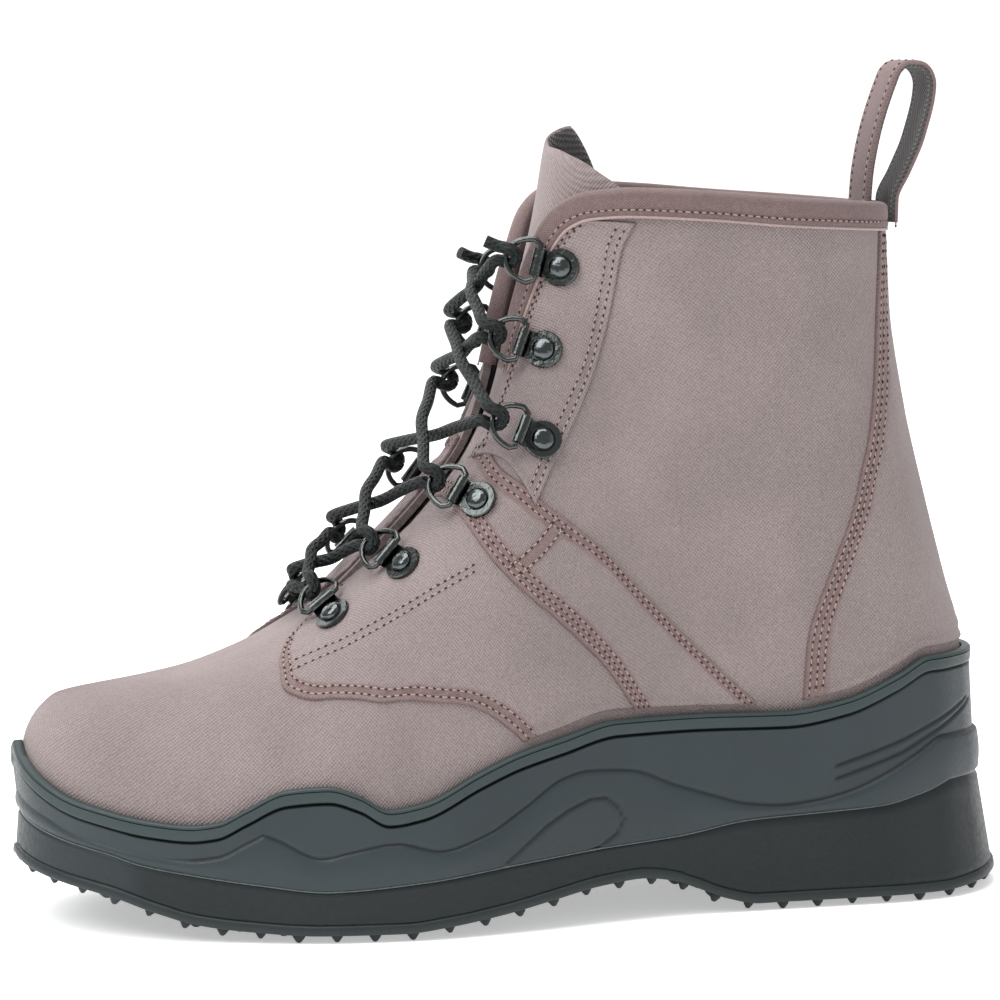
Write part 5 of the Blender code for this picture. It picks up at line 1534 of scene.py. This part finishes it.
# %% Rivets, barrels and rings
EYELET_RADIUS, EYELET_PLATE, EYELET_REACH = 0.0058, 0.0010, 0.0070
RIVET_RADIUS, RIVET_HEIGHT, BARREL_WIDTH = 0.0036, 0.0020, 0.0084
RING_WIDTH, RING_REACH, RING_WIRE, RING_TILT = 0.0135, 0.0098, 0.0009, 8
LACE_RADIUS = 0.0019
EYELETS = (
    (0.713, 0.730, 0.680, 0.0), (0.653, 0.711, 0.665, 0.3), (0.572, 0.628, 0.620, 0.5),
    (0.488, 0.526, 0.600, 0.8), (0.464, 0.702, 0.720, 0.7), (0.420, 0.845, 0.800, 0.8),
)
hardware_trees = {side: tree_of([upper_piece] + [sheets[f"{kind}_{label}"].piece
                                                 for kind in ("quarter", "strap", "facing")])
                  for label, side in SIDES}


def hardware_frame(side, row):
    """The middle of a rivet, and its directions to the ring, across, and away from the cloth."""
    share, lateral_u, medial_u, forward = EYELETS[row]
    u = lateral_u if side < 0 else medial_u
    t = np.array([side * float(turn(share))])
    start = rim_v(t)
    v = start + u * (1 - start)
    base, face = shell(t, v)[0], normal(t, v)[0]
    out = np.array([-forward, -side, 0.15])
    out -= face * np.dot(out, face)
    out /= np.linalg.norm(out)
    across = np.cross(face, out)
    circle = np.radians(range(0, 360, 30))
    spots = [0 * out] + [EYELET_RADIUS * (out * math.cos(a) + across * math.sin(a)) for a in circle]
    spots += [out * (EYELET_REACH + 0.0015) + across * k * BARREL_WIDTH / 2 for k in (-1, 0, 1)]
    points = np.array([[base + spot for spot in spots]])
    facing = np.broadcast_to(face, points.shape)
    height = feel(hardware_trees[side], points, facing).max()
    return base + face * (height + 0.0001), out, across, face


def revolve(profile, segments=24):
    angles = np.linspace(0, 2 * np.pi, segments + 1)
    points = np.array([[(r * math.cos(a), r * math.sin(a), z) for a in angles] for r, z in profile])
    faces = quads(len(profile), segments + 1)
    return points.reshape(-1, 3), faces, np.zeros((points.shape[0] * points.shape[1], 2))


def eyelet_parts():
    """Parts about the rivet: x points to the ring, z away from the cloth."""
    radius, plate, neck = EYELET_RADIUS, EYELET_PLATE, RIVET_RADIUS - 0.0001
    disc = revolve([(0.0, -0.0004), (radius, -0.0004), (radius, 0.65 * plate), (radius - 0.0003, plate),
                    (RIVET_RADIUS + 0.0002, plate), (RIVET_RADIUS, plate * 0.8), (0.0, plate * 0.8)])
    crown = [(RIVET_RADIUS * wide, plate + high * RIVET_HEIGHT) for wide, high in
             ((0.93, 0.45), (0.78, 0.72), (0.55, 0.90), (0.28, 0.98), (0.0, 1.0))]
    dome = revolve([(0.0, 0.5 * plate), (neck, 0.5 * plate), (neck, plate + 0.0002), *crown])
    hole = RING_WIRE + 0.0002
    roll = hole + 0.8 * plate
    middle = plate + hole
    angles = np.radians(np.linspace(-90, 175, 14))
    outer = [(EYELET_REACH + roll * math.cos(a), middle + roll * math.sin(a)) for a in angles]
    inner = [(EYELET_REACH + hole * math.cos(a), middle + hole * math.sin(a)) for a in angles[::-1]]
    profile = [(0.0005, middle - roll)] + outer + inner + [(0.0005, middle - hole)]
    half = BARREL_WIDTH / 2
    count = len(profile)
    points = [(x, y, z) for y in (-half, 0.0004 - half, half - 0.0004, half) for x, z in profile]
    faces = []
    for row in range(3):
        faces += [[row * count + i, row * count + (i + 1) % count, (row + 1) * count + (i + 1) % count,
                   (row + 1) * count + i] for i in range(count)]
    for base in (0, 3 * count):
        faces += [[base + i, base + i + 1, base + count - 2 - i, base + count - 1 - i]
                  for i in range(count // 2 - 1)]
    strip = (np.array(points), faces, np.zeros((len(points), 2)))
    return disc, dome, strip


def ring_part():
    half = RING_WIDTH / 2
    corner = [(0.0, y) for y in np.linspace(-0.80 * half, 0.80 * half, 8)]
    angles = np.radians(np.linspace(9, 171, 26))
    bow = [(RING_REACH * math.sin(a) ** 0.85, half * math.cos(a)) for a in angles]
    path = np.array([(x, y, 0.0) for x, y in corner + bow])
    return sweep(path, RING_WIRE, 12, cyclic=True)


def framed(part, origin, out, across, tilt=0.0):
    """A part moved into a frame of the boot, its z along out x across."""
    face = np.cross(out, across)
    ahead = out * math.cos(tilt) + face * math.sin(tilt)
    basis = np.stack([ahead, across, np.cross(ahead, across)], 0)
    return part[0] @ basis + origin, part[1], part[2]


# Polished rivet head: the same nickel, brighter, so it mirrors the lamps as small hard spots
dome_steel = plain("black_nickel_dome", "#555A5A", 0.09, 0.0015, 0.05, metallic=1.0)
disc_part, dome_part, strip_part = eyelet_parts()
wire_part = ring_part()
ring_frames = {}
for label, side in SIDES:
    for row in range(len(EYELETS)):
        origin, out, across, face = hardware_frame(side, row)
        parts = [framed(part, origin, out, across) for part in (disc_part, strip_part, dome_part)]
        kinds = [0] * (len(disc_part[1]) + len(strip_part[1])) + [1] * len(dome_part[1])
        node = f"eyelet_{label}_{row + 1}"
        eyelet = join_parts(f"{node}_steel", parts, [steel, dome_steel], indices=kinds, sharp=40)
        finish_piece(eyelet, "plated_steel", node)
        barrel = origin + out * EYELET_REACH + face * (EYELET_PLATE + RING_WIRE + 0.0002)
        ring_frames[side, row] = barrel, out, across, face
        wire = framed(wire_part, barrel, out, across, math.radians(RING_TILT))
        ring = join_parts(f"ring_{label}_{row + 1}_steel", [wire], [steel])
        finish_piece(ring, "plated_steel", f"ring_{label}_{row + 1}")

# %% [markdown]
# ## Lace
#
# One round braided lace starts with a bar across the lowest rings and crosses at every pair above. At
# each ring the run from below passes under the wire and comes up through the ring, and goes on over
# the wire to the other side. Where two runs cross over the throat, one lies over the other by the
# lace's own thickness.

# %% Runs of lace
OVER_WIRE, UNDER_WIRE = 0.0027, -0.0020      # from the wire's middle to the lace's
LACE_SIDES = 14


def lace_bend(side, row, shift):
    """Half of the bend round a ring's wire: from the middle of the ring out past the wire.

    The run that comes from below (shift -1) passes under the wire, and the run that goes on
    (shift 1) over it.
    """
    barrel, out, across, face = ring_frames[side, row]
    tilt = math.radians(RING_TILT)
    ahead = out * math.cos(tilt) + face * math.sin(tilt)
    lift = np.cross(ahead, across)
    up = (across if across[2] > 0 else -across) * shift
    wire = barrel + ahead * RING_REACH
    rise = lift * (OVER_WIRE if shift > 0 else UNDER_WIRE)
    return [wire - ahead * 0.0034, wire - ahead * 0.0029 + up * 0.0012 + rise * 0.35,
            wire - ahead * 0.0008 + up * 0.0020 + rise, wire + ahead * 0.0030 + up * 0.0021 + rise * 0.8]


def lace_run(first, second, bow, lift_at_crossing):
    """A path from the middle of one ring, round its wire, over the throat to the other ring."""
    start, finish = lace_bend(*first), lace_bend(*second)
    low, high = start[-1], finish[-1]
    middle = (low + high) / 2 + bow + lift_at_crossing
    beside = 0.72 * bow + 0.35 * lift_at_crossing
    quarters = [(low * 3 + high) / 4 + beside, (low + high * 3) / 4 + beside]
    return smooth_path(start + [quarters[0], middle, quarters[1]] + finish[::-1], 52)


def smooth_path(points, count):
    """A smooth curve through the points, with even steps."""
    points = np.array(points)
    padded = np.concatenate([[2 * points[0] - points[1]], points, [2 * points[-1] - points[-2]]])
    path = []
    for i in range(len(points) - 1):
        a, b, c, d = padded[i:i + 4]
        for k in np.linspace(0, 1, 12, endpoint=False):
            path.append(0.5 * ((2 * b) + (c - a) * k + (2 * a - 5 * b + 4 * c - d) * k ** 2
                               + (3 * b - a - 3 * c + d) * k ** 3))
    path.append(points[-1])
    path = np.array(path)
    run = run_along(path)
    even = np.linspace(0, run[-1], count)
    return np.stack([np.interp(even, run, path[:, i]) for i in range(3)], 1)


FORWARD = np.array([-1.0, 0.0, 0.45]) / math.hypot(1.0, 0.45)
BOWS = (0.0004, 0.0004, 0.0006, 0.0006, 0.0006)
lace_lengths = []


def cord(path):
    lace_lengths.append(run_along(path)[-1])
    return sweep(path, LACE_RADIUS, LACE_SIDES)


bar = [cord(lace_run((-1, 0, -1), (1, 0, -1), 0.0006 * FORWARD, 0 * FORWARD))]
finish_piece(join_parts("lace_bar_cord", bar, [lace_braid]), "lace_cord", "lace_bar")
for row in range(len(EYELETS) - 1):
    runs = []
    for side, rise in ((-1, 1), (1, -1)):
        over = FORWARD * rise * LACE_RADIUS
        path = lace_run((side, row, 1), (-side, row + 1, -1), BOWS[row] * FORWARD, over)
        runs.append(cord(path))
    if row == len(EYELETS) - 2:
        for side in (-1, 1):
            tail = lace_bend(side, row + 1, 1)
            tail.append(tail[-1] + np.array([-0.0035, -side * 0.001, 0.0015]))
            runs.append(cord(smooth_path(tail, 20)))
    node = f"lace_cross_{row + 1}"
    finish_piece(join_parts(f"{node}_cord", runs, [lace_braid]), "lace_cord", node)
print("lace between the rings:", round(sum(lace_lengths), 2), "m")

# %% [markdown]
# ## Studio
#
# The boot stands on a pale sheet of paper that curves up behind it, under large soft lights. It is
# seen from its outer side through a long lens, from just above the collar, as a catalogue shows it. A
# white world all round gives the steel something to mirror.

# %% Floor, light and camera
def make_floor():
    """A sheet of paper, flat under the boot and curved up behind it."""
    curve = [(-5.0, 0.0), (2.2, 0.0), (2.6, 0.06), (2.9, 0.25), (3.1, 0.6), (3.15, 1.2), (3.15, 4.0)]
    points = [(x, y, z) for y, z in curve for x in (-6, 6)]
    mesh = bpy.data.meshes.new("floor")
    mesh.from_pydata(points, [], [(2 * i, 2 * i + 1, 2 * i + 3, 2 * i + 2) for i in range(len(curve) - 1)])
    mesh.shade_smooth()
    # Background paper: it glows a little, so that it reads as the white of a cut-out picture
    paper, _, shader = new_material("pale_paper", 0.9, Emission_Strength=0.42)
    shader.inputs["Base Color"].default_value = hex_colour("#F6F6F6")
    shader.inputs["Emission Color"].default_value = WHITE
    mesh.materials.append(paper)
    put("floor", mesh)


def aimed(name, data, place, target):
    """A lamp or camera at a place, turned to a target."""
    made = put(name, data)
    made.location = place
    made.rotation_euler = (Vector(target) - made.location).to_track_quat("-Z", "Y").to_euler()
    return made


def soft_light(name, place, target, size, power):
    lamp = bpy.data.lights.new(name, "AREA")
    lamp.shape = "RECTANGLE"
    lamp.size, lamp.size_y = size
    lamp.energy = power
    aimed(name, lamp, place, target)


make_floor()
MIDDLE = (-0.11, 0.0, 0.12)
soft_light("key", (-1.2, -0.5, 1.3), MIDDLE, (1.0, 1.0), 16)
soft_light("fill", (1.2, -0.9, 0.7), MIDDLE, (1.2, 1.2), 1.5)
soft_light("top", (-0.25, 0.0, 1.5), MIDDLE, (1.2, 1.2), 20)
soft_light("back", (-0.3, 1.3, 0.9), MIDDLE, (1.4, 1.0), 8)
world = bpy.data.worlds.new("studio")
world.use_nodes = True
world.node_tree.nodes["Background"].inputs["Color"].default_value = WHITE
world.node_tree.nodes["Background"].inputs["Strength"].default_value = 0.5
bpy.context.scene.world = world
bpy.context.scene.view_settings.view_transform = "Standard"
lens = bpy.data.cameras.new("camera")
lens.lens, lens.sensor_width = 145.6, 36
camera = aimed("camera", lens, (-0.4415, -1.2074, 0.262), (-0.118, 0, 0.125))
bpy.context.scene.camera = camera
print("camera", round(camera.location.length, 2), "m away, lens", round(lens.lens, 1), "mm")
